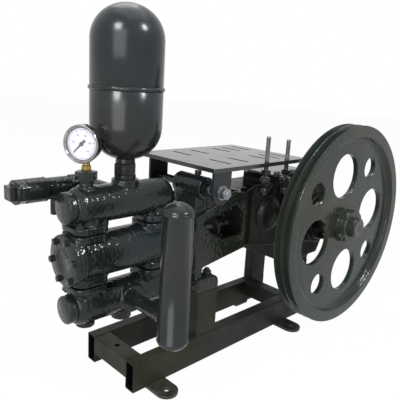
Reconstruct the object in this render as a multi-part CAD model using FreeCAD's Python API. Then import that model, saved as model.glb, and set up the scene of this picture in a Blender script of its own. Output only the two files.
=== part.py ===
"""Car wash pump: a horizontal double-acting piston pump on a welded skid.

Millimetres, +Z up.  X runs along the pump from the fluid end to the flywheel end, Y across it,
with the flywheel on the -Y side.  The sizes below are measured from the front ends of the skid's rails.
The finished pieces are moved so that the origin is on the floor, at the centre of the four foot holes.
"""
import FreeCAD, Part
import math
import os

os.makedirs("parts", exist_ok=True)

# Skid rails: rectangular tubes on edge, open at both ends
rail_length = 527.0
rail_height = 57.5
rail_width = 25.0
rail_wall = 3.0
rail_gap = 103.0              # clear width between the two rails

# Foot lugs: flat plates under the rails, rounded outside the rail
foot_thickness = 6.0
foot_width = 44.0
foot_hole_radius = 5.5
foot_hole_reach = 27.5        # from the rail's outer face to the hole
foot_front_x = 55.5
foot_rear_x = 444.5

# Cross members between the rails
cross_length = 34.0           # along X
cross_height = 38.0
cross_wall = 3.0
cross_rear_x = 450.0          # front face of the rear one
cross_hole_radius = 5.2

# Posts that carry the pump
post_length = 55.0            # along X
post_wall = 3.0
post_front_x = 152.0
front_seat_height = 160.0     # top of the front posts
rear_seat_height = 150.0      # top of the rear posts

# Pump axis and stations along it
axis_height = 260.0
front_valve_x = -53.0
rear_valve_x = 92.0
cylinder_front_x = -86.5      # joint face between cylinder and front cover
cylinder_rear_x = 140.0       # joint face between cylinder and cradle

# Cylinder casting
barrel_radius = 40.0
front_flange_radius = 44.0
front_flange_thickness = 16.0
rear_flange_radius = 67.0
rear_flange_thickness = 8.0    # the cylinder's own
cylinder_bore_depth = 105.0   # open length for the piston rod
cover_radius = 45.0
cover_thickness = 8.5
cover_recess_radius = 22.0
cover_recess_depth = 1.0
cover_chamfer = 1.5

# Valve chambers and their square flanges
chamber_radius = 27.0
flange_width = 66.0
flange_corner = 19.0
flange_thickness = 12.0
seam_height = 46.0            # from the pump axis to the middle of a flange joint
gasket_thickness = 3.0
gasket_radius = 27.0

# Manifolds
manifold_reach = 90.0        # from the pump axis to each manifold axis
manifold_radius = 32.5
manifold_front_x = -80.0
manifold_rear_x = 126.0
manifold_end_round = 20.0
manifold_nose = 10.0          # length of the taper at the front end
nose_radius = 27.0
end_plug_radius = 24.8
end_plug_length = 15.0
end_plug_chamfer = 1.5

# Room round a bolt or stud in its hole
bolt_clearance = 0.3

# Air vessel on the discharge manifold
vessel_x = 27.0
vessel_radius = 62.4
vessel_wall = 5.0
vessel_rise = 72.0            # from the manifold's axis to the vessel's lowest point
vessel_length = 259.0
vessel_seam_rise = 125.0      # from the vessel's lowest point to its weld
vessel_knuckle = 58.0
vessel_crown = 66.0
weld_proud = 2.0
weld_height = 6.0
vessel_socket_radius = 17.0
vessel_socket_proud = 5.0
vessel_boss_radius = 24.0
vessel_boss_rise = 39.0       # above the manifold's axis
neck_nut_width = 36.0
neck_nut_height = 20.0
neck_collar_radius = 19.0

# Pressure gauge on its bush
gauge_x = -51.0
gauge_bush_radius = 16.5
gauge_bush_rise = 59.0        # from the manifold's axis to the bush's top
gauge_bush_hex = 15.0
gauge_bush_length = 24.0
gauge_boss_wall = 4.0
gauge_neck_radius = 12.0
gauge_turn = 62.0             # dial turned from -Y towards -X, in degrees
gauge_rise = 46.0             # from the bush's top to the dial's middle
gauge_radius = 31.5
gauge_depth = 22.0
gauge_front = 20.0            # from the stem's axis to the bezel's front
gauge_rim = 2.5
gauge_step = 1.5
gauge_bezel = 10.0            # depth of the wider front part
gauge_back_step = 2.0
gauge_recess = 6.5
dial_thickness = 1.0
glass_thickness = 2.0
gauge_stem_radius = 6.0
gauge_stem_nut = 14.0
gauge_stem_nut_height = 9.0

# Relief valve beside the discharge manifold, on its +Y side
relief_y = 80.0
relief_rise = 16.0            # above the manifold's axis
relief_plug_width = 24.0
relief_plug_x = -151.0
relief_cap_x = -141.0
relief_cap_radius = 21.3
relief_collar_length = 5.0    # round end ahead of the wrench flats
relief_flats_width = 38.5
relief_flats_length = 15.0
relief_cap_chamfer = 1.5
relief_body_x = -86.0
relief_body_radius = 19.3
relief_nut_x = -40.0
relief_nut_width = 37.0
relief_elbow_x = -3.0
relief_elbow_radius = 13.0
relief_elbow_start = -21.0
relief_boss_radius = 16.0
relief_boss_y = 44.0
relief_outlet_x = -66.0
relief_outlet_radius = 8.0
relief_outlet_drop = 48.0     # below the valve's axis
relief_outlet_bore = 5.0
relief_outlet_depth = 22.0

# Delivery outlet on the far side of the discharge manifold
delivery_x = 62.0
delivery_radius = 17.0
delivery_proud = 12.0
delivery_bore = 9.5
delivery_depth = 24.0

# Suction side
suction_x = 27.0
suction_tee_radius = 26.0
suction_tee_reach = 36.0
suction_pipe_radius = 13.5
suction_pipe_wall = 3.0
drain_x = 24.0
drain_radius = 19.0
drain_proud = 14.0
front_drain_radius = 17.0
front_drain_proud = 6.0
strainer_y = -145.5
strainer_radius = 26.5
strainer_wall = 3.5
strainer_drop = 32.0          # from the suction manifold's axis to the tube's lower end
strainer_length = 222.0
strainer_knuckle = 6.0
strainer_crown = 32.0
strainer_cap_skirt = 2.0

# Cradle between the fluid end and the crankcase
cradle_rear_x = 295.0
cradle_half_width = 68.0
cradle_wall = 10.0
cradle_flange = 12.0          # thickness of its round front flange
cradle_floor_thickness = 12.0
cradle_rear_flange = 10.0
cradle_drop = 56.0            # underside below the pump axis, at the cylinder
cradle_rear_drop = 34.0       # and at the crankcase
cradle_foot_thickness = 28.0
cradle_foot_round = 14.0
cradle_foot_proud = 4.0       # ahead of the post
cradle_foot_lap = 10.0
cradle_leg_length = 16.0
cradle_leg_inset = 8.0
cradle_leg_lap = 24.0
hub_boss_radius = 21.5        # the pivot bolt's hub on top of the cradle
hub_boss_near_y = -71.0
hub_boss_far_y = 6.0
hub_neck_half_length = 16.0
saddle_rear_x = 186.0
saddle_bottom = 46.0          # underside above the pump axis
saddle_thickness = 10.0
grease_cap_y = -44.0
grease_cap_radius = 6.5
grease_cap_height = 9.0

# Corners of the cradle's side walls: heights above the pump axis, and distances along X
wall_front_rise = 54.0
wall_hub_rise = 72.0
wall_hub_back = 34.0          # behind the pivot hub
wall_crest_rise = 90.0
wall_crest_forward = 40.0      # ahead of the crankcase
wall_rear_rise = 84.0

# Corners of the cradle's side windows
window_front_gap = 10.0
window_rear_gap = 15.0
window_corner_rise = 42.0
window_crest_rise = 64.0
window_crest_forward = 24.0
window_sill_drop = 3.0
window_low_back = 62.0
window_low_drop = 5.0
window_nose_back = 26.0
window_nose_rise = 16.0

# Gland, piston rod and its splash disc
rod_radius = 11.0
rod_clearance = 0.06
rod_room = 4.0                # round the rod where nothing guides it
rod_forward = 40.0            # travel towards the cylinder from where it stands
rod_back = 10.0               # travel towards the crankcase
rod_end_gap = 5.0             # left at each end of its travel
gland_radius = 27.0
gland_length = 44.0
gland_flange_thickness = 10.0
disc_radius = 24.0
disc_thickness = 9.0
disc_x = 256.0
disc_nut_width = 27.0
disc_nut_height = 9.0
guide_depth = 70.0            # depth of the bore that the rod's rear end slides in

# Crankcase
crank_x = 527.0
case_half_width = 78.0
case_rise = 106.0             # from the pump axis to the case's top
case_corner = 12.0
case_front_rise = 78.0        # to the top of its lower front part
case_step_x = 368.0           # where the higher part starts
case_step_far_y = 16.0        # far end of the step's front edge
case_slant_x = 443.0          # where the slanted edge reaches the far wall
case_rear_radius = 72.0
case_front_drop = 30.0        # from the pump axis to the front part's underside
sump_front_x = 452.0
sump_rear_reach = 34.0        # behind the crankshaft
sump_drop = 56.0              # from the pump axis to the sump's shoulder
case_ledge = 12.0
case_shoulder = 20.0
case_chin = 30.0
lid_thickness = 6.0
lid_inset = 10.0
lid_rear_x = 516.0
bearing_radius = 60.0
bearing_proud = 20.0
bearing_cover_radius = 50.0
bearing_cover_thickness = 10.0
bearing_cover_chamfer = 2.0
side_cover_x = 348.0
side_cover_rise = 33.0        # above the pump axis
side_cover_radius = 36.0
side_cover_rim = 1.0
side_cover_knuckle = 12.0
side_cover_crown = 60.0

# Flywheel with two V grooves, and its shaft
wheel_radius = 228.5
wheel_width = 40.0
wheel_near_y = -176.5
rim_depth = 29.5              # from the rim's outside to its inside
rim_draft = 5.0               # how much wider the rim's mouth is than its root
web_thickness = 12.0
web_recess = 13.0             # from the near face to the web
groove_pitch = 19.0
groove_width = 16.5
groove_depth = 13.0
groove_root = 7.5
large_hole_radius = 50.0
large_hole_inset = 82.0       # from the rim's inside to the ring of hole centres
small_hole_radius = 24.0
small_hole_inset = 47.0
hole_count = 4
hole_phase = 10.5
hub_radius = 38.0
hub_chamfer = 2.5
hub_lap = 2.0                 # how far the web runs into the hub
hub_near_y = -186.0
hub_far_y = -124.0
shaft_radius = 22.5
shaft_near_y = -200.0
shaft_far_y = -40.0
shaft_clearance = 0.06
key_width = 12.0
key_depth = 4.0
shaft_chamfer = 1.5

# Motor plate above the crankcase
plate_rise = 153.5            # from the pump axis to the plate's top
plate_thickness = 8.0
plate_front_x = 142.0
plate_rear_x = 425.5
plate_half_width = 109.3
plate_corner = 4.0
slot_length = 57.0
slot_radius = 3.3
slot_centre_y = 55.0
slot_stations = (211.0, 261.0, 329.0, 362.0, 395.0)
leg_x = 164.0
leg_width = 46.0
leg_thickness = 6.0
leg_pin_rise = 108.0          # above the pump axis
far_leg_y = 71.0              # inner face of the far leg
pin_radius = 8.0
pin_head_width = 24.0
pin_head_height = 9.0
pin_washer_radius = 14.0
pin_washer_thickness = 2.5
pin_tail = 4.0

# Tension studs at the plate's near edge
tension_stations = (304.0, 372.0)
tension_y = -96.0
tension_radius = 5.0
tension_ends = (50.0, 41.0)   # above the plate
tension_nut_width = 19.0
tension_nut_height = 9.0
tension_tail = 14.0

# Ears cast on the crankcase that the studs stand in
ear_rises = (111.0, 106.0)    # tops above the pump axis
ear_length = 18.0             # along X
ear_thickness = 12.0
ear_end_y = -108.0
ear_flat_y = -84.0            # inner end of the flat underside
ear_root_y = -50.0
ear_root_drop = 38.0          # from the ear's top to where it leaves the case
ear_root_depth = 16.0
ear_curve = ((-64.0, 19.0), (-74.0, 11.0), (-88.0, 4.0))  # Y and drop of points on its curved top

# Values that follow from the sizes above
foot_middle_x = (foot_front_x + foot_rear_x) / 2
rail_bottom = foot_thickness
rail_top = rail_bottom + rail_height
rail_inner = rail_gap / 2
rail_outer = rail_inner + rail_width
post_rear_x = rail_length - post_length
upper_axis = axis_height + manifold_reach
lower_axis = axis_height - manifold_reach
vessel_bottom = upper_axis + vessel_rise
vessel_top = vessel_bottom + vessel_length
vessel_seam = vessel_bottom + vessel_seam_rise
vessel_boss_top = upper_axis + vessel_boss_rise
gauge_bush_top = upper_axis + gauge_bush_rise
gauge_height = gauge_bush_top + gauge_rise
relief_height = upper_axis + relief_rise
relief_outlet_bottom = relief_height - relief_outlet_drop
strainer_tube_bottom = lower_axis - strainer_drop
strainer_tube_top = strainer_tube_bottom + strainer_length
case_top = axis_height + case_rise
case_front_top = axis_height + case_front_rise
plate_top = axis_height + plate_rise
leg_pin_height = axis_height + leg_pin_rise
rim_inner_radius = wheel_radius - rim_depth
large_hole_circle = rim_inner_radius - large_hole_inset
small_hole_circle = rim_inner_radius - small_hole_inset
web_near_y = wheel_near_y + web_recess
web_far_y = web_near_y + web_thickness
wheel_far_y = wheel_near_y + wheel_width
bearing_face = case_half_width + bearing_proud


def vec(x, y, z):
    return FreeCAD.Vector(x, y, z)


def block(x0, x1, y0, y1, z0, z1):
    """A box between two corners."""
    return Part.makeBox(x1 - x0, y1 - y0, z1 - z0, vec(x0, y0, z0))


def rod_x(x0, x1, radius, y, z):
    return Part.makeCylinder(radius, x1 - x0, vec(x0, y, z), vec(1, 0, 0))


def rod_y(y0, y1, radius, x, z):
    return Part.makeCylinder(radius, y1 - y0, vec(x, y0, z), vec(0, 1, 0))


def rod_z(z0, z1, radius, x, y):
    return Part.makeCylinder(radius, z1 - z0, vec(x, y, z0), vec(0, 0, 1))


def fuse(*shapes):
    """One solid from overlapping ones, with the seams between like faces removed."""
    return shapes[0].multiFuse(list(shapes[1:])).removeSplitter()


def cut(shape, *tools):
    return shape.cut(list(tools)) if tools else shape


def prism(points, direction):
    """A straight-sided solid on a closed outline of points."""
    return Part.Face(Part.makePolygon([*points, points[0]])).extrude(direction)


def hexagon(width, base, axis, height):
    """A hexagonal bar of a given width across flats, standing on a point along an axis."""
    radius = width / math.sqrt(3)
    corners = [vec(x, y, 0) for x, y in pitch_points(radius, 6, 0)]
    return on_axis(prism(corners, vec(0, 0, height)), base, axis)


def revolved(face, axis):
    """A full turn of a flat face about an axis through the origin, facing outwards."""
    solid = face.revolve(vec(0, 0, 0), axis, 360)
    if solid.Volume < 0:
        solid.reverse()
    return solid


def on_axis(solid, base, axis):
    """A solid made about Z, moved to stand on a point along another axis."""
    solid.Placement = FreeCAD.Placement(base, FreeCAD.Rotation(vec(0, 0, 1), axis))
    return solid


def turned(profile, base, axis):
    """A turned solid: (radius, height) points, revolved about an axis through a point."""
    points = [vec(r, 0, h) for r, h in profile]
    return on_axis(revolved(Part.Face(Part.makePolygon([*points, points[0]])), vec(0, 0, 1)), base, axis)


def mirrored(shape):
    """The same piece on the other side of the pump's middle plane."""
    return shape.mirror(vec(0, 0, 0), vec(0, 1, 0))


def save(node, shape):
    shape.translate(vec(-foot_middle_x, 0, 0))
    shape.exportStep(f"parts/{node}.step")


def pitch_points(circle, count, phase):
    """(horizontal, vertical) offsets of points spaced evenly round a circle."""
    angles = [math.radians(phase + 360 * i / count) for i in range(count)]
    return [(circle * math.cos(a), circle * math.sin(a)) for a in angles]


def rect_tube_x(x0, x1, y0, y1, z0, z1, wall):
    """A rectangular tube along X, open at both ends."""
    return cut(block(x0, x1, y0, y1, z0, z1),
               block(x0 - 1, x1 + 1, y0 + wall, y1 - wall, z0 + wall, z1 - wall))


def make_rail(side):
    rail = rect_tube_x(0, rail_length, rail_inner, rail_outer, rail_bottom, rail_top, rail_wall)
    return rail if side > 0 else mirrored(rail)


def make_foot(x, side):
    """A foot lug: a plate under the rail with a round end and a bolt hole."""
    reach = rail_outer + foot_hole_reach
    plate = block(x - foot_width / 2, x + foot_width / 2, rail_inner, reach, 0, foot_thickness)
    plate = fuse(plate, rod_z(0, foot_thickness, foot_width / 2, x, reach))
    plate = cut(plate, rod_z(-1, foot_thickness + 1, foot_hole_radius, x, reach))
    return plate if side > 0 else mirrored(plate)


def make_cross(x, with_hole):
    """A tube across the skid, flush with the tops of the rails."""
    top = rail_top
    tube = cut(block(x, x + cross_length, -rail_inner, rail_inner, top - cross_height, top),
               block(x + cross_wall, x + cross_length - cross_wall, -rail_inner - 1, rail_inner + 1,
                     top - cross_height + cross_wall, top - cross_wall))
    if with_hole:
        tube = cut(tube, rod_z(top - cross_wall - 1, top + 1, cross_hole_radius, x + cross_length / 2, 0))
    return tube


def make_posts(x, top):
    """A pair of box posts, one on each rail."""
    post = cut(block(x, x + post_length, rail_inner, rail_outer, rail_top, top),
               block(x + post_wall, x + post_length - post_wall, rail_inner + post_wall,
                     rail_outer - post_wall, rail_top - 1, top + 1))
    return Part.makeCompound([post, mirrored(post)])


def flange_plate(x, z0, z1):
    """A square valve flange with round corners, about a vertical axis."""
    half = flange_width / 2
    plate = block(x - half, x + half, -half, half, z0, z1)
    corners = [e for e in plate.Edges if abs(e.Vertexes[0].Z - e.Vertexes[-1].Z) > 0.5 * (z1 - z0)]
    return plate.makeFillet(flange_corner, corners)


def seam_faces(sign):
    """Heights of the two flange faces at a joint above (+1) or below (-1) the pump axis."""
    middle = axis_height + sign * seam_height
    return middle - sign * gasket_thickness / 2, middle + sign * gasket_thickness / 2


def ordered(a, b):
    return (a, b) if a < b else (b, a)


def make_cylinder():
    """The cylinder casting: barrel, end flanges, two valve chambers and their four flanges."""
    z = axis_height
    body = [rod_x(cylinder_front_x, cylinder_rear_x, barrel_radius, 0, z),
            rod_x(cylinder_front_x, cylinder_front_x + front_flange_thickness, front_flange_radius, 0, z),
            rod_x(cylinder_rear_x - rear_flange_thickness, cylinder_rear_x, rear_flange_radius, 0, z)]
    for x in (front_valve_x, rear_valve_x):
        for sign in (-1, 1):
            face = seam_faces(sign)[0]
            low, high = ordered(face - sign * flange_thickness, face)
            body.append(rod_z(*ordered(z, face), chamber_radius, x, 0))
            body.append(flange_plate(x, low, high))
    bore = rod_x(cylinder_rear_x - cylinder_bore_depth, cylinder_rear_x + 1, rod_radius + rod_room, 0, z)
    return cut(fuse(*body), bore)


def make_cover():
    """The round front cover, with a shallow round recess."""
    x0 = cylinder_front_x - cover_thickness
    cover = rod_x(x0, cylinder_front_x, cover_radius, 0, axis_height)
    rim = [e for e in cover.Edges if len(e.Vertexes) == 1 and abs(e.Vertexes[0].X - x0) < 0.01]
    cover = cover.makeChamfer(cover_chamfer, rim)
    recess = rod_x(x0 - 1, x0 + cover_recess_depth, cover_recess_radius, 0, axis_height)
    return cut(cover, recess)


def make_gaskets():
    """The gaskets in the four flange joints."""
    return Part.makeCompound([rod_z(*ordered(*seam_faces(sign)), gasket_radius, x, 0)
                              for sign in (-1, 1) for x in (front_valve_x, rear_valve_x)])


def manifold_body(z, sign):
    """A manifold barrel with a tapered nose, a rounded rear end and two flanged necks."""
    length = manifold_rear_x - manifold_front_x
    shoulder = vec(manifold_radius, 0, length - manifold_end_round)
    end = vec(manifold_radius - manifold_end_round, 0, length)
    bulge = manifold_end_round * math.sqrt(0.5)
    middle = vec(end.x + bulge, 0, shoulder.z + bulge)
    corners = [end, vec(0, 0, length), vec(0, 0, 0), vec(nose_radius, 0, 0),
               vec(manifold_radius, 0, manifold_nose), shoulder]
    wire = Part.Wire([*Part.makePolygon(corners).Edges, Part.Arc(shoulder, middle, end).toShape()])
    body = [on_axis(revolved(Part.Face(wire), vec(0, 0, 1)), vec(manifold_front_x, 0, z), vec(1, 0, 0))]
    for x in (front_valve_x, rear_valve_x):
        face = seam_faces(sign)[1]
        body.append(rod_z(*ordered(face, z), chamber_radius, x, 0))
        body.append(flange_plate(x, *ordered(face, face + sign * flange_thickness)))
    return body


def make_discharge_manifold():
    body = manifold_body(upper_axis, 1)
    body.append(rod_z(upper_axis, vessel_boss_top, vessel_boss_radius, vessel_x, 0))
    body.append(rod_z(upper_axis, gauge_bush_top - gauge_bush_length, gauge_neck_radius + gauge_boss_wall,
                      gauge_x, 0))
    body.append(rod_y(0, relief_boss_y, relief_boss_radius, relief_elbow_x, relief_height))
    body.append(rod_y(0, manifold_radius + delivery_proud, delivery_radius, delivery_x, upper_axis))
    mouth = manifold_radius + delivery_proud
    bore = rod_y(mouth - delivery_depth, mouth + 1, delivery_bore, delivery_x, upper_axis)
    return cut(fuse(*body), bore)


def make_suction_manifold():
    body = manifold_body(lower_axis, -1)
    body.append(rod_y(-suction_tee_reach, 0, suction_tee_radius, suction_x, lower_axis))
    return fuse(*body)


def make_end_plug(z):
    """The round blanking plug in a manifold's front end."""
    plug = rod_x(manifold_front_x - end_plug_length, manifold_front_x, end_plug_radius, 0, z)
    front = manifold_front_x - end_plug_length
    rim = [e for e in plug.Edges if len(e.Vertexes) == 1 and abs(e.Vertexes[0].X - front) < 0.01]
    return plug.makeChamfer(end_plug_chamfer, rim)


def make_bottom_plug(x, radius, proud):
    """A round plug boss below the suction manifold."""
    top = lower_axis - manifold_radius
    embed = manifold_radius - math.sqrt(manifold_radius ** 2 - radius ** 2)
    boss = rod_z(top - proud, top + embed, radius, x, 0)
    return cut(boss, rod_x(manifold_front_x, manifold_rear_x, manifold_radius, 0, lower_axis))


def dome(radius, knuckle, crown):
    """Height of a dished end and the edges of its half profile, from the rim to the axis."""
    run = radius - knuckle
    height = crown - math.sqrt((crown - knuckle) ** 2 - run ** 2)
    slope = math.atan2(run, height - crown)
    rim = vec(radius, 0, 0)
    knuckle_centre = vec(run, 0, 0)
    crown_centre = vec(0, 0, height - crown)
    along = (knuckle_centre - crown_centre).normalize()
    meet = crown_centre + along * crown
    bisect = (along + vec(1, 0, 0)).normalize()
    half = (vec(0, 0, 1) + along).normalize()
    knuckle_arc = Part.Arc(rim, knuckle_centre + bisect * knuckle, meet)
    crown_arc = Part.Arc(meet, crown_centre + half * crown, vec(0, 0, height))
    return height, [knuckle_arc.toShape(), crown_arc.toShape()]


def dished_cup(radius, knuckle, crown, skirt):
    """A solid cup: a straight skirt below z = 0 and a dished end above it."""
    height, arcs = dome(radius, knuckle, crown)
    wire = Part.Wire([Part.makeLine(vec(0, 0, height), vec(0, 0, -skirt)),
                      Part.makeLine(vec(0, 0, -skirt), vec(radius, 0, -skirt)),
                      Part.makeLine(vec(radius, 0, -skirt), vec(radius, 0, 0)), *arcs])
    return revolved(Part.Face(wire), vec(0, 0, 1)), height


def vessel_half(skirt):
    """Half of the air vessel's shell, dome up, with the dome's springing at z = 0."""
    outer, height = dished_cup(vessel_radius, vessel_knuckle, vessel_crown, skirt)
    inner = dished_cup(vessel_radius - vessel_wall, vessel_knuckle - vessel_wall,
                       vessel_crown - vessel_wall, skirt + 1)[0]
    return outer.cut(inner), height


def make_vessel_upper():
    height = dome(vessel_radius, vessel_knuckle, vessel_crown)[0]
    springing = vessel_top - height
    half = vessel_half(springing - vessel_seam)[0]
    half.translate(vec(vessel_x, 0, springing))
    return half


def make_vessel_lower():
    """The lower half, with the weld bead at its rim and the threaded socket at its bottom."""
    height = dome(vessel_radius, vessel_knuckle, vessel_crown)[0]
    springing = vessel_bottom + height
    half = vessel_half(vessel_seam - springing)[0]
    half.rotate(vec(0, 0, 0), vec(1, 0, 0), 180)
    half.translate(vec(vessel_x, 0, springing))
    inside = vessel_radius - vessel_wall / 2
    bead_radius = vessel_radius + weld_proud
    bead = [(inside, -weld_height), (vessel_radius, -weld_height), (bead_radius, -weld_height / 2),
            (bead_radius, -1), (vessel_radius, 0), (inside, 0)]
    bead = turned(bead, vec(vessel_x, 0, vessel_seam), vec(0, 0, 1))
    socket = rod_z(vessel_bottom - vessel_socket_proud, vessel_bottom + vessel_wall,
                   vessel_socket_radius, vessel_x, 0)
    return fuse(half, bead, socket)


def make_vessel_neck():
    """The union between the manifold's boss and the vessel's socket."""
    top = vessel_bottom - vessel_socket_proud
    nut = hexagon(neck_nut_width, vec(vessel_x, 0, top - neck_nut_height), vec(0, 0, 1), neck_nut_height)
    return fuse(nut, rod_z(vessel_boss_top, top - neck_nut_height + 1, neck_collar_radius, vessel_x, 0))


def gauge_axis():
    turn = math.radians(gauge_turn)
    return vec(-math.sin(turn), -math.cos(turn), 0)


def gauge_disc(radius, start, end):
    """A disc on the gauge's own axis, between two distances from the stem."""
    axis = gauge_axis()
    base = vec(gauge_x, 0, gauge_height) + axis * start
    return Part.makeCylinder(radius, end - start, base, axis)


def make_gauge_bush():
    """The hexagon bush that the gauge screws into."""
    nut = hexagon(2 * gauge_bush_radius, vec(gauge_x, 0, gauge_bush_top - gauge_bush_hex), vec(0, 0, 1),
                  gauge_bush_hex)
    neck = rod_z(gauge_bush_top - gauge_bush_length, gauge_bush_top - gauge_bush_hex + 1, gauge_neck_radius,
                 gauge_x, 0)
    return fuse(nut, neck)


def make_gauge_stem():
    """The brass stem: a square-faced nut below a round neck that enters the case."""
    foot = hexagon(gauge_stem_nut, vec(gauge_x, 0, gauge_bush_top), vec(0, 0, 1), gauge_stem_nut_height)
    neck = rod_z(gauge_bush_top + 1, gauge_height, gauge_stem_radius, gauge_x, 0)
    return cut(fuse(foot, neck), gauge_disc(gauge_radius, gauge_front - gauge_depth, gauge_front))


def make_gauge_case():
    back = gauge_front - gauge_depth
    case = gauge_disc(gauge_radius, gauge_front - gauge_bezel, gauge_front)
    case = fuse(case, gauge_disc(gauge_radius - gauge_back_step, back, gauge_front - gauge_bezel + 1))
    glass_seat = gauge_disc(gauge_radius - gauge_rim, gauge_front - glass_thickness, gauge_front + 1)
    chamber = gauge_disc(gauge_radius - gauge_rim - gauge_step, gauge_front - gauge_recess, gauge_front + 1)
    return cut(case, glass_seat, chamber)


def make_gauge_dial():
    back = gauge_front - gauge_recess
    return gauge_disc(gauge_radius - gauge_rim - gauge_step, back, back + dial_thickness)


def make_relief_cap():
    """The spring cap: a long round cap with wrench flats and a square adjusting plug."""
    z = relief_height
    cap = rod_x(relief_cap_x, relief_body_x, relief_cap_radius, relief_y, z)
    rim = [e for e in cap.Edges if len(e.Vertexes) == 1 and abs(e.Vertexes[0].X - relief_cap_x) < 0.01]
    cap = cap.makeChamfer(relief_cap_chamfer, rim)
    flats_x = relief_cap_x + relief_collar_length
    flats = rod_x(flats_x, flats_x + relief_flats_length, relief_cap_radius + 1, relief_y, z)
    flats = flats.cut(hexagon(relief_flats_width, vec(flats_x - 1, relief_y, z), vec(1, 0, 0),
                              relief_flats_length + 2))
    half = relief_plug_width / 2
    plug = block(relief_plug_x, relief_cap_x + 1, relief_y - half, relief_y + half, z - half, z + half)
    return fuse(cap.cut(flats), plug)


def make_relief_body():
    """The valve body with its outlet stub, which is bored for a bypass hose."""
    z = relief_height
    body = rod_x(relief_body_x, relief_nut_x, relief_body_radius, relief_y, z)
    stub = rod_z(relief_outlet_bottom, z, relief_outlet_radius, relief_outlet_x, relief_y)
    bore = rod_z(relief_outlet_bottom - 1, relief_outlet_bottom + relief_outlet_depth,
                 relief_outlet_bore, relief_outlet_x, relief_y)
    return cut(fuse(body, stub), bore)


def make_relief_elbow():
    """The union nut and the elbow from the valve back into the manifold's boss."""
    nut = hexagon(relief_nut_width, vec(relief_nut_x, relief_y, relief_height), vec(1, 0, 0),
                  relief_elbow_start - relief_nut_x)
    run = rod_x(relief_elbow_start - 1, relief_elbow_x, relief_elbow_radius, relief_y, relief_height)
    leg = rod_y(relief_boss_y, relief_y, relief_elbow_radius, relief_elbow_x, relief_height)
    knee = Part.makeSphere(relief_elbow_radius, vec(relief_elbow_x, relief_y, relief_height))
    return fuse(nut, run, knee, leg)


def make_suction_pipe():
    """The pipe from the tee on the suction manifold to the strainer."""
    end = strainer_y + math.sqrt(strainer_radius ** 2 - suction_pipe_radius ** 2)
    pipe = rod_y(end - 3, -suction_tee_reach, suction_pipe_radius, suction_x, lower_axis)
    bore = rod_y(end - 4, -suction_tee_reach + 1, suction_pipe_radius - suction_pipe_wall, suction_x,
                 lower_axis)
    tube = rod_z(strainer_tube_bottom, strainer_tube_top, strainer_radius, suction_x, strainer_y)
    return pipe.cut([bore, tube])


def make_strainer_tube():
    outer = rod_z(strainer_tube_bottom, strainer_tube_top, strainer_radius, suction_x, strainer_y)
    inner = rod_z(strainer_tube_bottom - 1, strainer_tube_top + 1, strainer_radius - strainer_wall,
                  suction_x, strainer_y)
    return outer.cut(inner)


def make_strainer_cap(z, up):
    """A dished end for the strainer tube, hollow inside."""
    cap, height = dished_cup(strainer_radius, strainer_knuckle, strainer_crown, strainer_cap_skirt)
    inside = dished_cup(strainer_radius - strainer_wall, strainer_knuckle - strainer_wall,
                        strainer_crown - strainer_wall, strainer_cap_skirt + 1)[0]
    cap = cap.cut(inside)
    if not up:
        cap.rotate(vec(0, 0, 0), vec(1, 0, 0), 180)
    cap.translate(vec(suction_x, strainer_y, z + (strainer_cap_skirt if up else -strainer_cap_skirt)))
    return cap


def window_outline(y):
    """The cradle's side window: pointed at the cylinder, tall at the crankcase."""
    front = cylinder_rear_x + cradle_flange + window_front_gap
    rear = cradle_rear_x - window_rear_gap
    corners = [(front, window_corner_rise), (rear - window_crest_forward, window_crest_rise),
               (rear, window_corner_rise), (rear, -window_sill_drop),
               (front + window_low_back, -window_low_drop), (front + window_nose_back, window_nose_rise)]
    return [vec(x, y, axis_height + rise) for x, rise in corners]


def side_outline(y):
    """The outline of a cradle side wall, highest above the window."""
    front = cylinder_rear_x + cradle_flange / 2
    rear = cradle_rear_x
    corners = [(front, -cradle_drop), (rear, -cradle_rear_drop), (rear, wall_rear_rise),
               (rear - wall_crest_forward, wall_crest_rise), (leg_x + wall_hub_back, wall_hub_rise),
               (front, wall_front_rise)]
    return [vec(x, y, axis_height + rise) for x, rise in corners]


def cradle_foot(side):
    """A foot pad on a front post, with the leg that stands on it."""
    pad = block(post_front_x - cradle_foot_proud, post_front_x + post_length, rail_inner, rail_outer,
                front_seat_height, front_seat_height + cradle_foot_thickness)
    top = front_seat_height + cradle_foot_thickness
    edge = [e for e in pad.Edges if abs(e.Vertexes[0].X - post_front_x - post_length) < 0.01
            and abs(e.Vertexes[-1].X - post_front_x - post_length) < 0.01
            and abs(e.Vertexes[0].Z - top) < 0.01 and abs(e.Vertexes[-1].Z - top) < 0.01]
    pad = pad.makeFillet(cradle_foot_round, edge)
    leg = block(post_front_x - cradle_foot_proud, post_front_x + cradle_leg_length,
                rail_inner - cradle_leg_inset, cradle_half_width, top - cradle_foot_lap,
                axis_height - cradle_drop + cradle_leg_lap)
    foot = fuse(pad, leg)
    return foot if side > 0 else mirrored(foot)


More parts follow.
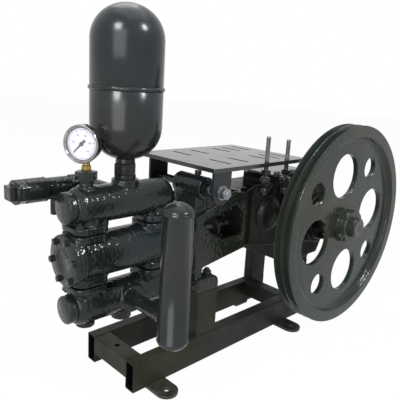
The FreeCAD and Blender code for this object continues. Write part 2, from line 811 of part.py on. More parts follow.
def make_cradle():
    """The open casting between cylinder and crankcase, with side windows, pivot hub and feet."""
    z = axis_height
    near, half = cradle_half_width - cradle_wall, cradle_half_width
    body = [rod_x(cylinder_rear_x, cylinder_rear_x + cradle_flange, rear_flange_radius, 0, z)]
    windows = []
    for side in (-1, 1):
        y0 = near if side > 0 else -half
        body.append(prism(side_outline(y0), vec(0, cradle_wall, 0)))
        body.append(cradle_foot(side))
        windows.append(prism(window_outline(y0 - 1), vec(0, cradle_wall + 2, 0)))
    front = cylinder_rear_x + cradle_flange / 2
    low, high = z - cradle_drop, z - cradle_rear_drop
    floor = prism([vec(front, -near, low), vec(cradle_rear_x, -near, high),
                   vec(cradle_rear_x, -near, high + cradle_floor_thickness),
                   vec(front, -near, low + cradle_floor_thickness)], vec(0, 2 * near, 0))
    end = cradle_rear_x - cradle_rear_flange
    saddle = block(front, saddle_rear_x, -near, near, z + saddle_bottom,
                   z + saddle_bottom + saddle_thickness)
    neck = block(leg_x - hub_neck_half_length, leg_x + hub_neck_half_length, -near, hub_boss_far_y - 3,
                 z + saddle_bottom, leg_pin_height)
    hub = rod_y(hub_boss_near_y, hub_boss_far_y, hub_boss_radius, leg_x, leg_pin_height)
    body += [floor, block(end, cradle_rear_x, -half, half, high, z + wall_rear_rise), saddle, neck, hub]
    rod_way = rod_x(cylinder_rear_x - 1, cylinder_rear_x + cradle_flange + 1, rod_radius + rod_room, 0, z)
    rear_way = rod_x(end - 1, cradle_rear_x + 1, rod_radius + rod_clearance, 0, z)
    pin_way = rod_y(-plate_half_width, plate_half_width, pin_radius + bolt_clearance, leg_x, leg_pin_height)
    return cut(fuse(*body), rod_way, rear_way, pin_way, *windows)


def make_gland():
    """The gland nut that packs the piston rod, with its round flange."""
    x0 = cylinder_rear_x + cradle_flange
    flange = rod_x(x0, x0 + gland_flange_thickness, gland_radius + 5, 0, axis_height)
    nut = hexagon(2 * gland_radius, vec(x0 + gland_flange_thickness, 0, axis_height), vec(1, 0, 0),
                  gland_length - gland_flange_thickness)
    bore = rod_x(x0 - 1, x0 + gland_length + 1, rod_radius + rod_clearance, 0, axis_height)
    return cut(fuse(flange, nut), bore)


def make_piston_rod():
    """The piston rod, from inside the cylinder to inside the crosshead guide."""
    front = cylinder_rear_x - cylinder_bore_depth + rod_forward + rod_end_gap
    rear = cradle_rear_x + guide_depth - rod_back - rod_end_gap
    rod = rod_x(front, rear, rod_radius, 0, axis_height)
    nut = hexagon(disc_nut_width, vec(disc_x + disc_thickness / 2, 0, axis_height), vec(1, 0, 0),
                  disc_nut_height)
    return fuse(rod, nut)


def make_splash_disc():
    """The rubber disc that throws water off the piston rod."""
    disc = rod_x(disc_x - disc_thickness / 2, disc_x + disc_thickness / 2, disc_radius, 0, axis_height)
    return disc.cut(rod_x(disc_x - disc_thickness, disc_x + disc_thickness, rod_radius, 0, axis_height))


def case_outline(y):
    """The crankcase's side outline: low front, step, round rear above the shaft's height, sump below."""
    z = axis_height
    rear = crank_x + case_rear_radius
    front_bottom = vec(cradle_rear_x, y, z - case_front_drop)
    front_top = vec(cradle_rear_x, y, case_front_top)
    step = vec(case_step_x, y, case_front_top)
    step_low = vec(case_step_x, y, case_top - case_corner)
    step_high = vec(case_step_x + case_corner, y, case_top)
    inset = case_corner * (1 - math.sqrt(0.5))
    corner = Part.Arc(step_low, vec(case_step_x + inset, y, case_top - inset), step_high).toShape()
    brow = vec(crank_x, y, case_top)
    shoulder = vec(rear, y, z + case_shoulder)
    bulge = vec(crank_x + case_rear_radius * 0.72, y, shoulder.z + (case_top - shoulder.z) * 0.7)
    sweep = Part.Arc(brow, bulge, shoulder).toShape()
    base = rear_seat_height + case_ledge
    rest = [shoulder, vec(rear, y, z - case_chin), vec(crank_x + sump_rear_reach, y, base),
            vec(sump_front_x, y, base), vec(sump_front_x, y, z - sump_drop), front_bottom, front_top, step,
            step_low]
    return Part.Wire([corner, Part.makeLine(step_high, brow), sweep, *Part.makePolygon(rest).Edges])


def stud_ear(x, rise):
    """An ear with a curved top, cast on the crankcase's near side, that a tension stud stands in."""
    top = axis_height + rise
    outline = [(ear_end_y, 0), (ear_end_y, ear_thickness), (ear_flat_y, ear_thickness),
               (-case_half_width, ear_root_drop), (ear_root_y, ear_root_drop + ear_root_depth),
               (ear_root_y, ear_root_drop), *ear_curve]
    x0 = x - ear_length / 2
    return prism([vec(x0, y, top - drop) for y, drop in outline], vec(ear_length, 0, 0))


def make_crankcase():
    """The closed crankcase casting with bearing housings, feet and the crosshead guide's bore."""
    z = axis_height
    case = Part.Face(case_outline(-case_half_width)).extrude(vec(0, 2 * case_half_width, 0))
    over = case_half_width + 1
    slant = prism([vec(case_step_x - 1, case_step_far_y, case_front_top),
                   vec(case_slant_x, over, case_front_top), vec(case_step_x - 1, over, case_front_top)],
                  vec(0, 0, case_rise))
    case = case.cut(slant)
    housing = rod_y(-bearing_face, bearing_face, bearing_radius, crank_x, z)
    base = block(sump_front_x, rail_length, -rail_outer, rail_outer, rear_seat_height,
                 rear_seat_height + case_ledge + 2)
    guide = rod_x(cradle_rear_x - 1, cradle_rear_x + guide_depth, rod_radius + rod_clearance, 0, z)
    shaft_way = rod_y(-bearing_face - 1, shaft_far_y + 6, shaft_radius + 4, crank_x, z)
    ears = []
    sockets = []
    for x, rise in zip(tension_stations, ear_rises):
        ears.append(stud_ear(x, rise))
        sockets.append(rod_z(z + rise - ear_thickness - 1, z + rise + 1, tension_radius + bolt_clearance,
                             x, tension_y))
    return cut(fuse(case, housing, base, *ears), guide, shaft_way, *sockets)


def make_lid():
    """The crankcase's flat lid, cut off at an angle like the case below it."""
    y = case_half_width - lid_inset
    x0 = case_step_x + case_corner
    lid = prism([vec(x0, -y, case_top), vec(lid_rear_x, -y, case_top), vec(lid_rear_x, y, case_top),
                 vec(case_slant_x, y, case_top), vec(x0, case_step_far_y, case_top)],
                vec(0, 0, lid_thickness))
    corners = [e for e in lid.Edges if abs(e.Vertexes[0].Z - e.Vertexes[-1].Z) > lid_thickness / 2]
    return lid.makeFillet(lid_inset, corners)


def make_bearing_cover(side):
    """A bearing cover: bored for the shaft on the flywheel's side, blind on the other."""
    face = bearing_face
    cover = rod_y(face, face + bearing_cover_thickness, bearing_cover_radius, crank_x, axis_height)
    rim = [e for e in cover.Edges
           if len(e.Vertexes) == 1 and abs(e.Vertexes[0].Y - face - bearing_cover_thickness) < 0.01]
    cover = cover.makeChamfer(bearing_cover_chamfer, rim)
    if side < 0:
        cover = mirrored(cover)
        bore = rod_y(-face - bearing_cover_thickness - 1, -face + 1, shaft_radius + shaft_clearance,
                     crank_x, axis_height)
        cover = cut(cover, bore)
    return cover


def make_side_cover():
    """The domed cover over the crosshead guide's side."""
    cap = dished_cup(side_cover_radius, side_cover_knuckle, side_cover_crown, side_cover_rim)[0]
    base = vec(side_cover_x, -case_half_width - side_cover_rim, axis_height + side_cover_rise)
    return on_axis(cap, base, vec(0, -1, 0))


def groove_ring(y):
    """The ring that a V groove takes out of the rim, centred on y."""
    root, mouth = groove_root / 2, groove_width / 2
    depth = wheel_radius - groove_depth
    over = 1.0
    spread = mouth + (mouth - root) / groove_depth * over
    points = [vec(depth, y - root, 0), vec(wheel_radius + over, y - spread, 0),
              vec(wheel_radius + over, y + spread, 0), vec(depth, y + root, 0)]
    face = Part.Face(Part.makePolygon([*points, points[0]]))
    ring = revolved(face, vec(0, 1, 0))
    ring.translate(vec(crank_x, 0, axis_height))
    return ring


def make_flywheel():
    """The belt wheel: grooved rim with drafted inner faces, a pierced web and a long hub."""
    rim_profile = [(wheel_radius, wheel_near_y), (rim_inner_radius + rim_draft, wheel_near_y),
                   (rim_inner_radius, web_near_y), (hub_radius - hub_lap, web_near_y),
                   (hub_radius - hub_lap, web_far_y), (rim_inner_radius, web_far_y),
                   (rim_inner_radius + rim_draft, wheel_far_y), (wheel_radius, wheel_far_y)]
    points = [vec(r, y, 0) for r, y in rim_profile]
    disc = revolved(Part.Face(Part.makePolygon([*points, points[0]])), vec(0, 1, 0))
    disc.translate(vec(crank_x, 0, axis_height))
    hub = rod_y(hub_near_y, hub_far_y, hub_radius, crank_x, axis_height)
    ends = [e for e in hub.Edges if len(e.Vertexes) == 1]
    hub = hub.makeChamfer(hub_chamfer, ends)
    middle = (wheel_near_y + wheel_far_y) / 2
    grooves = [groove_ring(middle + k * groove_pitch / 2) for k in (-1, 1)]
    holes = []
    for circle, radius, turn in ((large_hole_circle, large_hole_radius, 0),
                                 (small_hole_circle, small_hole_radius, 180 / hole_count)):
        for dx, dz in pitch_points(circle, hole_count, hole_phase + turn):
            holes.append(rod_y(web_near_y - 1, web_far_y + 1, radius, crank_x + dx, axis_height + dz))
    bore = rod_y(hub_near_y - 1, hub_far_y + 1, shaft_radius, crank_x, axis_height)
    keyway = block(crank_x - key_width / 2, crank_x + key_width / 2, hub_near_y - 1, hub_far_y + 1,
                   axis_height, axis_height + shaft_radius + key_depth)
    return cut(fuse(disc, hub), bore, keyway, *grooves, *holes)


def make_shaft():
    """The crankshaft's driving end, chamfered, with the hub's key."""
    shaft = rod_y(shaft_near_y, shaft_far_y, shaft_radius, crank_x, axis_height)
    ends = [e for e in shaft.Edges if len(e.Vertexes) == 1]
    shaft = shaft.makeChamfer(shaft_chamfer, ends)
    key = block(crank_x - key_width / 2, crank_x + key_width / 2, hub_near_y, hub_far_y,
                axis_height + shaft_radius - key_depth, axis_height + shaft_radius + key_depth)
    return fuse(shaft, key)


def make_plate():
    """The motor plate with two rows of slots and holes for the tension studs."""
    z0 = plate_top - plate_thickness
    plate = block(plate_front_x, plate_rear_x, -plate_half_width, plate_half_width, z0, plate_top)
    corners = [e for e in plate.Edges if abs(e.Vertexes[0].Z - e.Vertexes[-1].Z) > plate_thickness / 2]
    plate = plate.makeFillet(plate_corner, corners)
    holes = []
    half = slot_length / 2 - slot_radius
    for x in slot_stations:
        for side in (-1, 1):
            y = side * slot_centre_y
            middle = block(x - slot_radius, x + slot_radius, y - half, y + half, z0 - 1, plate_top + 1)
            ends = [rod_z(z0 - 1, plate_top + 1, slot_radius, x, y + k * half) for k in (-1, 1)]
            holes.append(fuse(middle, *ends))
    for x in tension_stations:
        holes.append(rod_z(z0 - 1, plate_top + 1, tension_radius + bolt_clearance, x, tension_y))
    return cut(plate, *holes)


def make_leg(inner_y, side):
    """A strap under the plate with a round lower end on the pivot bolt."""
    y0, y1 = ordered(side * inner_y, side * (inner_y + leg_thickness))
    strap = block(leg_x - leg_width / 2, leg_x + leg_width / 2, y0, y1, leg_pin_height,
                  plate_top - plate_thickness)
    eye = rod_y(y0, y1, leg_width / 2, leg_x, leg_pin_height)
    return cut(fuse(strap, eye), rod_y(y0 - 1, y1 + 1, pin_radius + bolt_clearance, leg_x, leg_pin_height))


def make_pivot_bolt():
    """The long bolt through both legs and the cradle's hub, with washers, head and nut."""
    near, far = -plate_half_width, far_leg_y + leg_thickness
    washers = [rod_y(near - pin_washer_thickness, near, pin_washer_radius, leg_x, leg_pin_height),
               rod_y(far, far + pin_washer_thickness, pin_washer_radius, leg_x, leg_pin_height)]
    head = hexagon(pin_head_width, vec(leg_x, near - pin_washer_thickness, leg_pin_height), vec(0, -1, 0),
                   pin_head_height)
    nut = hexagon(pin_head_width, vec(leg_x, far + pin_washer_thickness, leg_pin_height), vec(0, 1, 0),
                  pin_head_height)
    end = far + pin_washer_thickness + pin_head_height + pin_tail
    shank = rod_y(near - pin_washer_thickness, end, pin_radius, leg_x, leg_pin_height)
    return fuse(shank, *washers, head, nut)


def make_tension_stud(x, rise, end):
    """A threaded stud with lock nuts on its ear and a nut under the plate."""
    seat = axis_height + rise
    bottom = seat - ear_thickness
    stud = rod_z(bottom - tension_tail, plate_top + end, tension_radius, x, tension_y)
    under = plate_top - plate_thickness - tension_nut_height
    heights = (bottom - tension_nut_height, seat, under)
    nuts = [hexagon(tension_nut_width, vec(x, tension_y, h), vec(0, 0, 1), tension_nut_height)
            for h in heights]
    return fuse(stud, *nuts)


def make_grease_cap():
    """The cap that closes the grease hole on top of the pivot hub."""
    seat = leg_pin_height + hub_boss_radius
    low = rod_z(seat - 3, seat + 2, grease_cap_radius - 2, leg_x, grease_cap_y)
    cap = fuse(low, rod_z(seat + 1, seat + grease_cap_height, grease_cap_radius, leg_x, grease_cap_y))
    hub = rod_y(hub_boss_near_y, hub_boss_far_y, hub_boss_radius, leg_x, leg_pin_height)
    return cap.cut(hub)


def main():
    for side, name in ((-1, "near"), (1, "far")):
        save(f"rail_{name}", make_rail(side))
        save(f"foot_front_{name}", make_foot(foot_front_x, side))
        save(f"foot_rear_{name}", make_foot(foot_rear_x, side))
        save(f"bearing_cover_{name}", make_bearing_cover(side))
    save("cross_member_front", make_cross(0, True))
    save("cross_member_rear", make_cross(cross_rear_x, False))
    save("front_posts", make_posts(post_front_x, front_seat_height))
    save("rear_posts", make_posts(post_rear_x, rear_seat_height))
    save("cylinder", make_cylinder())
    save("cylinder_cover", make_cover())
    save("valve_gaskets", make_gaskets())
    save("discharge_manifold", make_discharge_manifold())
    save("suction_manifold", make_suction_manifold())
    save("discharge_end_plug", make_end_plug(upper_axis))
    save("suction_end_plug", make_end_plug(lower_axis))
    save("suction_bottom_plugs", Part.makeCompound([
        make_bottom_plug(front_valve_x, front_drain_radius, front_drain_proud),
        make_bottom_plug(drain_x, drain_radius, drain_proud)]))
    save("air_vessel_upper", make_vessel_upper())
    save("air_vessel_lower", make_vessel_lower())
    save("air_vessel_neck", make_vessel_neck())
    save("gauge_bush", make_gauge_bush())
    save("gauge_stem", make_gauge_stem())
    save("gauge_case", make_gauge_case())
    save("gauge_dial", make_gauge_dial())
    save("relief_cap", make_relief_cap())
    save("relief_body", make_relief_body())
    save("relief_elbow", make_relief_elbow())
    save("suction_pipe", make_suction_pipe())
    save("strainer_tube", make_strainer_tube())
    save("strainer_top", make_strainer_cap(strainer_tube_top, True))
    save("strainer_bottom", make_strainer_cap(strainer_tube_bottom, False))
    save("cradle", make_cradle())
    save("gland", make_gland())
    save("piston_rod", make_piston_rod())
    save("splash_disc", make_splash_disc())
    save("grease_cap", make_grease_cap())
    save("crankcase", make_crankcase())
    save("crankcase_lid", make_lid())
    save("guide_cover", make_side_cover())
    save("flywheel", make_flywheel())
    save("crankshaft", make_shaft())
    save("motor_plate", make_plate())
    save("plate_leg_near", make_leg(plate_half_width - leg_thickness, -1))
    save("plate_leg_far", make_leg(far_leg_y, 1))
    save("pivot_bolt", make_pivot_bolt())
    save("tension_studs", Part.makeCompound([make_tension_stud(*values)
                                             for values in zip(tension_stations, ear_rises, tension_ends)]))


main()
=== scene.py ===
"""Car wash pump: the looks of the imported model, and the stage that it stands on.

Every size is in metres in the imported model's frame.  A few helpers take millimetres measured from the front
ends of the skid's rails, as the part's source does, and turn them into that frame.
"""
import math
from itertools import product

import bmesh
import bpy
from bpy.props import FloatProperty, FloatVectorProperty, IntProperty, PointerProperty
from mathutils import Matrix, Vector


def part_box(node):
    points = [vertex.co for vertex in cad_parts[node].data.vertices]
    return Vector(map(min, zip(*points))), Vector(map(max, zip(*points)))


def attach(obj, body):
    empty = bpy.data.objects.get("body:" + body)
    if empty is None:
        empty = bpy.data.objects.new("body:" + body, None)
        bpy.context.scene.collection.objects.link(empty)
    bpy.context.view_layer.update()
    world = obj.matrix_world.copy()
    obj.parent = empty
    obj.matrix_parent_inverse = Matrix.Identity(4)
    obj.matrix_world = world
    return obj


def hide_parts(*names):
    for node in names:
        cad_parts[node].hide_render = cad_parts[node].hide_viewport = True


bl_info = {
    "name": "Car Wash Pump",
    "version": (1, 0, 0),
    "blender": (4, 5, 0),
    "location": "3D View > Sidebar > Pump",
    "description": "Dresses a packed car wash pump with castings, fasteners, finishes and a studio",
    "category": "Object",
}

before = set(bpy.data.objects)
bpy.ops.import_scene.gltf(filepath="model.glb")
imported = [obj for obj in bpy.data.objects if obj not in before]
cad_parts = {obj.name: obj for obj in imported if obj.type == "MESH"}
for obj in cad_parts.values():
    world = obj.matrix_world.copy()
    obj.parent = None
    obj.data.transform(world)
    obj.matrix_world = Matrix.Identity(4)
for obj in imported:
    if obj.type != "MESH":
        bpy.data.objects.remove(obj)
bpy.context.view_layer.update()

MM = 0.001
FOOT_MIDDLE = 250.0
X_AXIS = Vector((1, 0, 0))
Y_AXIS = Vector((0, 1, 0))
Z_AXIS = Vector((0, 0, 1))

# Places in the pump, in millimetres from the front ends of the rails
RAIL_INNER_Y, RAIL_OUTER_Y, RAIL_TOP = 51.5, 76.5, 63.5
FOOT_XS = (55.5, 444.5)
MEMBER_XS = ((0, 34), (450, 484))
POST_XS = ((152, 207), (472, 527))
PUMP_Z = 260.0
VALVE_XS = (-53.0, 92.0)
JOINT_RISE = 46.0
DISCHARGE_Z, SUCTION_Z = 350.0, 170.0
FLANGE_THICKNESS, GASKET_THICKNESS = 12.0, 3.0
STUD_REACH = 23.5
COVER_FACE_X, COVER_BOLT_CIRCLE = -95.0, 37.0
CRADLE_JOINT_X, CRADLE_BOLT_CIRCLE = 140.0, 54.0
CRADLE_FOOT_TOP = 188.0
FOOT_BOLT_X = 184.0
POST_Y = 64.0
CRANK_X = 527.0
BEARING_FACE_Y, BEARING_BOLT_CIRCLE = 108.0, 42.0
LID_TOP = 372.0
VESSEL_X = 27.0
GAUGE_X, GAUGE_Z = -51.0, 455.0
GAUGE_TURN = math.radians(62.0)
GAUGE_FRONT = 20.0
SCALE_RADIUS = 23.6
DIGIT_CIRCLE, DIGIT_HEIGHT = 15.2, 5.2
SHAFT_NEAR_Y = -200.0
STRAINER_X, STRAINER_Y = 27.0, -145.5
PIN_X, PIN_Z = 164.0, 368.0
HUB_NEAR_Y, HUB_FAR_Y = -71.0, 6.0
LEG_NEAR_Y, LEG_FAR_Y = -109.3, 77.0
PLATE_UNDER = 405.2
STUD_XS = (304.0, 372.0)
STUD_Y = -96.0
STUD_TOPS = (463.5, 454.5)
EAR_TOPS = (371.0, 366.0)
EAR_THICKNESS = 12.0

# The skid's tubes in metres: wall, rounding of the long corners, and of the sawn ends
TUBE_WALL, TUBE_CORNER, TUBE_END = 0.003, 0.0022, 0.0003

# The camera that the photograph was matched with
CAMERA_PLACE = (-0.723266, -0.695701, 0.568903)
CAMERA_AZIMUTH = -0.781394
CAMERA_ELEVATION = 0.245109
CAMERA_ROLL = 0.0591836
CAMERA_LENS = 43.976

# The face attribute that darkens the bore of a tube with painted shade and how much, the painted shade's
# near-black colour, and colours that the enamels share
PAINTED_SHADE_ATTRIBUTE = "painted_bore_shade"
PAINTED_SHADE_AMOUNT = 0.9
# Near-black colour of the painted shade in the bores of tubes
PAINTED_SHADE_COLOUR = (0.001, 0.001, 0.001)
BLACK = (0.0, 0.0, 0.0)
DUST = (0.30, 0.29, 0.27)

# The floor's half width in metres, and how much of it the camera and reflections see as white light
FLOOR_REACH = 9.0
FLOOR_WHITE = 0.97

# Each enamel: its colour's setting, roughness, height and pitch of its grain in metres, gloss and dust
ENAMELS = {
    "casting_enamel": ("casting", 0.10, 0.0022, 0.0070, 0.26, 0.0),
    "tank_enamel": ("tank", 0.20, 0.00008, 0.022, 0.30, 0.0),
    "skid_enamel": ("skid", 0.46, 0.0002, 0.008, 0.12, 0.02),
    "lug_enamel": ("skid", 0.30, 0.0005, 0.008, 0.40, 0.12),
    "crankcase_enamel": ("crankcase", 0.36, 0.0006, 0.0120, 0.16, 0.0),
    "wheel_enamel": ("wheel", 0.13, 0.0012, 0.0060, 0.24, 0.0),
    "plate_enamel": ("plate", 0.17, 0.00005, 0.016, 0.55, 0.04),
}

# Each finish: its material, and the slot that the part's record names for it
IRON = ("casting_enamel", "enamel")
TANK = ("tank_enamel", "enamel")
SKID = ("skid_enamel", "enamel")
LUG = ("lug_enamel", "enamel")
CASE = ("crankcase_enamel", "dark_enamel")
WHEEL = ("wheel_enamel", "wheel_enamel")
PLATE = ("plate_enamel", "plate_enamel")
ZINC = ("zinc", "zinc")
RUBBER = ("rubber", "rubber")
PRINT = ("dial_print", "dial_white")
STEEL = ("gauge_steel", "gauge_steel")


def hue(name, description, value):
    """A colour setting."""
    return FloatVectorProperty(name=name, description=description, default=value, subtype="COLOR",
                               size=3, min=0, max=1)


def span(name, description, value, low, high):
    """A length setting, in metres."""
    return FloatProperty(name=name, description=description, default=value, min=low, max=high,
                         unit="LENGTH")


def watts(name, description, value, most):
    """The power setting of a lamp."""
    return FloatProperty(name=name, description=description, default=value, min=0, max=most, unit="POWER")


class PumpColours(bpy.types.PropertyGroup):
    """Colours of the finishes, as linear values"""

    casting: hue("Casting enamel", "Glossy enamel over rough castings", (0.011, 0.0150, 0.0135))
    tank: hue("Tank enamel", "Glossy enamel over smooth sheet steel", (0.013, 0.0165, 0.0175))
    skid: hue("Skid enamel", "Enamel over the skid's tubes", (0.020, 0.022, 0.0165))
    crankcase: hue("Crankcase enamel", "Darker enamel over the crankcase", (0.009, 0.010, 0.0095))
    wheel: hue("Wheel enamel", "Olive-grey enamel over the flywheel", (0.021, 0.027, 0.023))
    plate: hue("Plate enamel", "Satin enamel over the motor plate", (0.018, 0.020, 0.018))
    zinc: hue("Zinc", "Zinc plating on studs and bolts", (0.28, 0.29, 0.31))
    brass: hue("Brass", "Machined brass of the gauge's stem", (0.36, 0.25, 0.08))
    steel: hue("Steel", "Polished steel of the gauge's case", (0.40, 0.39, 0.37))
    dial: hue("Dial", "Face of the pressure gauge", (0.62, 0.58, 0.70))
    rubber: hue("Rubber", "Gaskets and the splash disc", (0.015, 0.015, 0.015))
    floor: hue("Floor", "Studio floor", (0.90, 0.90, 0.89))


class PumpSizes(bpy.types.PropertyGroup):
    """Sizes of the details that the scene adds"""

    nut_width: span("Nut width", "Width across flats of the flange nuts", 0.013, 0.005, 0.03)
    nut_height: span("Nut height", "Height of the flange nuts", 0.0065, 0.002, 0.02)
    stud_radius: span("Stud radius", "Radius of the flange studs", 0.004, 0.001, 0.01)
    stud_proud: span("Stud proud", "How far a stud stands out of its nut", 0.004, 0.0, 0.02)
    thread_pitch: span("Thread pitch", "Pitch of the tension studs' thread", 0.0015, 0.0005, 0.004)
    casting_grain: span("Casting grain", "Height of the castings' rough skin", 0.0006, 0.0, 0.003)
    casting_cell: span("Casting cell", "Cell that castings are rounded with", 0.0018, 0.001, 0.005)
    turn_steps: IntProperty(name="Turn steps", description="Facets round a large turned piece",
                            default=128, min=24, max=360)
    edge_round: span("Edge round", "Rounding of the foot lugs' edges", 0.0007, 0.0, 0.003)


class PumpStudio(bpy.types.PropertyGroup):
    """Levels of the studio's light"""

    ambient: FloatProperty(name="Ambient", description="Strength of the even light from all round",
                           default=0.30, min=0, max=3)
    ceiling: watts("Ceiling", "Power of the wide lamp overhead", 10.0, 300)
    strip: watts("Strip", "Power of the tall soft strip at the left", 32.0, 100)
    key: watts("Key", "Power of the window-like lamp high at the left", 30.0, 300)
    spark: watts("Spark", "Power of the smaller lamp that glints on the enamel", 22.0, 100)
    fill: watts("Fill", "Power of the soft lamp behind the pump", 14.0, 100)


def place(x, y, z):
    """A point given in millimetres from the rails' front ends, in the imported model's frame."""
    return Vector(((x - FOOT_MIDDLE) * MM, y * MM, z * MM))


def sizes():
    """The settings of the added details."""
    return bpy.context.scene.pump_sizes


# Materials


def node_tree(name):
    """The node tree of a new material, and its shader."""
    material = bpy.data.materials.new("pump_" + name)
    material.use_nodes = True
    return material.node_tree, material.node_tree.nodes["Principled BSDF"]


def feed(tree, node, inputs):
    """Each named input of a node set to a value, or linked where the value is a socket."""
    for name, value in inputs.items():
        if isinstance(value, bpy.types.NodeSocket):
            tree.links.new(value, node.inputs[name])
        else:
            node.inputs[name].default_value = value
    return node


def add(tree, kind, inputs, **settings):
    """A new node with its own settings and its inputs fed."""
    node = tree.nodes.new(kind)
    for name, value in settings.items():
        setattr(node, name, value)
    return feed(tree, node, inputs)


def noise(tree, scale, detail, roughness, stretch=None):
    """Noise on the object's own coordinates, stretched where asked."""
    source = tree.nodes.new("ShaderNodeTexCoord").outputs["Object"]
    if stretch:
        source = add(tree, "ShaderNodeMapping", {"Scale": stretch, "Vector": source}).outputs["Vector"]
    inputs = {"Scale": scale, "Detail": detail, "Roughness": roughness, "Vector": source}
    return add(tree, "ShaderNodeTexNoise", inputs).outputs["Fac"]


def spread(tree, source, low, high, to_low, to_high):
    """A value between two limits, mapped to two others."""
    inputs = {"From Min": low, "From Max": high, "To Min": to_low, "To Max": to_high, "Value": source}
    return add(tree, "ShaderNodeMapRange", inputs).outputs["Result"]


def blend(tree, factor, first, second):
    """A mix of two colours, each given as a colour or a socket."""
    a, b = (c if isinstance(c, bpy.types.NodeSocket) else (*c, 1.0) for c in (first, second))
    return add(tree, "ShaderNodeMix", {"Factor": factor, "A": a, "B": b}, data_type="RGBA").outputs["Result"]


def math_node(tree, operation, first, second):
    """The result of a sum on two values, each given as a number or a socket."""
    return add(tree, "ShaderNodeMath", {0: first, 1: second}, operation=operation).outputs["Value"]


def lighten(colour, amount):
    """A colour times an amount, which may also darken it."""
    return tuple(min(1.0, c * amount) for c in colour)


def bumps(tree, *layers):
    """The normal of a chain of bumps, each a (height socket, strength, distance), from coarse to fine."""
    normal = None
    for height, strength, distance in layers:
        inputs = {"Strength": strength, "Distance": distance, "Height": height}
        if normal:
            inputs["Normal"] = normal
        normal = add(tree, "ShaderNodeBump", inputs).outputs["Normal"]
    return normal


def enamel(name, colour, roughness, grain, pitch, gloss, dust):
    """Sprayed enamel: drifting colour, orange peel over a coarser grain, dust on what faces up, and painted
    shade on faces marked as a tube's bore.
    """
    tree, shader = node_tree(name)
    mottle = noise(tree, 14.0, 4.0, 0.6)
    drift = noise(tree, 5.0, 2.0, 0.4)
    warm = (colour[0] * 1.14, colour[1] * 1.03, colour[2] * 0.82)
    cool = (colour[0] * 0.84, colour[1] * 0.96, colour[2] * 1.16)
    tinted = blend(tree, spread(tree, drift, 0.35, 0.65, 0.0, 1.0), warm, cool)
    mottled = blend(tree, spread(tree, mottle, 0.3, 0.7, 0.0, 0.35), tinted, BLACK)
    facing = add(tree, "ShaderNodeSeparateXYZ",
                 {"Vector": tree.nodes.new("ShaderNodeNewGeometry").outputs["Normal"]})
    upward = spread(tree, facing.outputs["Z"], 0.55, 1.0, 0.0, 1.0)
    specks = spread(tree, noise(tree, 90.0, 5.0, 0.7), 0.42, 0.72, 0.0, dust)
    dusted = blend(tree, math_node(tree, "MULTIPLY", upward, specks), mottled, DUST)
    # Painted shade: faces that a tube marks as its bore are blended to near black, standing for the shadow
    # inside it
    painted_shade = add(tree, "ShaderNodeAttribute", {}, attribute_name=PAINTED_SHADE_ATTRIBUTE)
    smear = noise(tree, 30.0, 3.0, 0.6)
    coarse = noise(tree, 1.0 / pitch, 2.0, 0.45)
    fine = noise(tree, 900.0, 2.0, 0.5)
    # The base colour is the dusted enamel with the painted shade blended in
    feed(tree, shader, {"Base Color": blend(tree, painted_shade.outputs["Fac"], dusted, PAINTED_SHADE_COLOUR),
                        "Roughness": spread(tree, smear, 0.3, 0.7, roughness * 0.8, roughness * 1.25),
                        "Specular IOR Level": gloss,
                        "Normal": bumps(tree, (coarse, 0.55, grain), (fine, 0.25, grain * 0.045))})


def bare_metal(name, colour, roughness, brushed):
    """Machined or plated metal with fine brushing along one axis, and dull patches."""
    tree, shader = node_tree(name)
    patches = spread(tree, noise(tree, 40.0, 4.0, 0.6), 0.3, 0.75, 0.0, 1.0)
    lines = noise(tree, 700.0, 2.0, 0.5, brushed)
    feed(tree, shader, {"Metallic": 1.0,
                        "Base Color": blend(tree, patches, colour, lighten(colour, 0.72)),
                        "Roughness": spread(tree, lines, 0.3, 0.7, roughness * 0.75, roughness * 1.3),
                        "Normal": bumps(tree, (lines, 0.2, 0.0001))})


def rubber_material(name, colour):
    """Matte rubber with a pale bloom."""
    tree, shader = node_tree(name)
    bloom = noise(tree, 120.0, 4.0, 0.65)
    faded = spread(tree, bloom, 0.4, 0.8, 0.0, 0.6)
    feed(tree, shader, {"Base Color": blend(tree, faded, colour, lighten(colour, 3.0)), "Roughness": 0.62,
                        "Normal": bumps(tree, (bloom, 0.3, 0.0002))})


def printed(name, colour, roughness):
    """A printed or painted small face with a very slight unevenness."""
    tree, shader = node_tree(name)
    tint = noise(tree, 220.0, 2.0, 0.5)
    feed(tree, shader, {"Base Color": blend(tree, tint, colour, lighten(colour, 0.93)),
                        "Roughness": roughness})


def glass_material(name):
    """Clear glass with faint smudges."""
    tree, shader = node_tree(name)
    smudge = spread(tree, noise(tree, 60.0, 3.0, 0.6), 0.3, 0.8, 0.03, 0.12)
    feed(tree, shader, {"Base Color": (0.9, 0.92, 0.94, 1.0), "Roughness": smudge, "Alpha": 0.05})


def material_of(name):
    """A material that this script made."""
    return bpy.data.materials["pump_" + name]


# Mesh helpers


def placed(name, data):
    """A new object in the scene."""
    made = bpy.data.objects.new(name, data)
    bpy.context.scene.collection.objects.link(made)
    return made


def mesh_of(name, bm):
    """The mesh of a bmesh, which is freed."""
    mesh = bpy.data.meshes.new(name)
    bm.to_mesh(mesh)
    bm.free()
    return mesh


def settled(made):
    """The mesh that an object and its modifiers make, in place of the object."""
    graph = bpy.context.evaluated_depsgraph_get()
    mesh = bpy.data.meshes.new_from_object(made.evaluated_get(graph), depsgraph=graph)
    bpy.data.objects.remove(made)
    return mesh


def smooth(mesh, sharp):
    """Smooth shading, but for edges sharper than an angle."""
    mesh.polygons.foreach_set("use_smooth", [True] * len(mesh.polygons))
    mesh.set_sharp_from_angle(angle=math.radians(sharp))
    return mesh


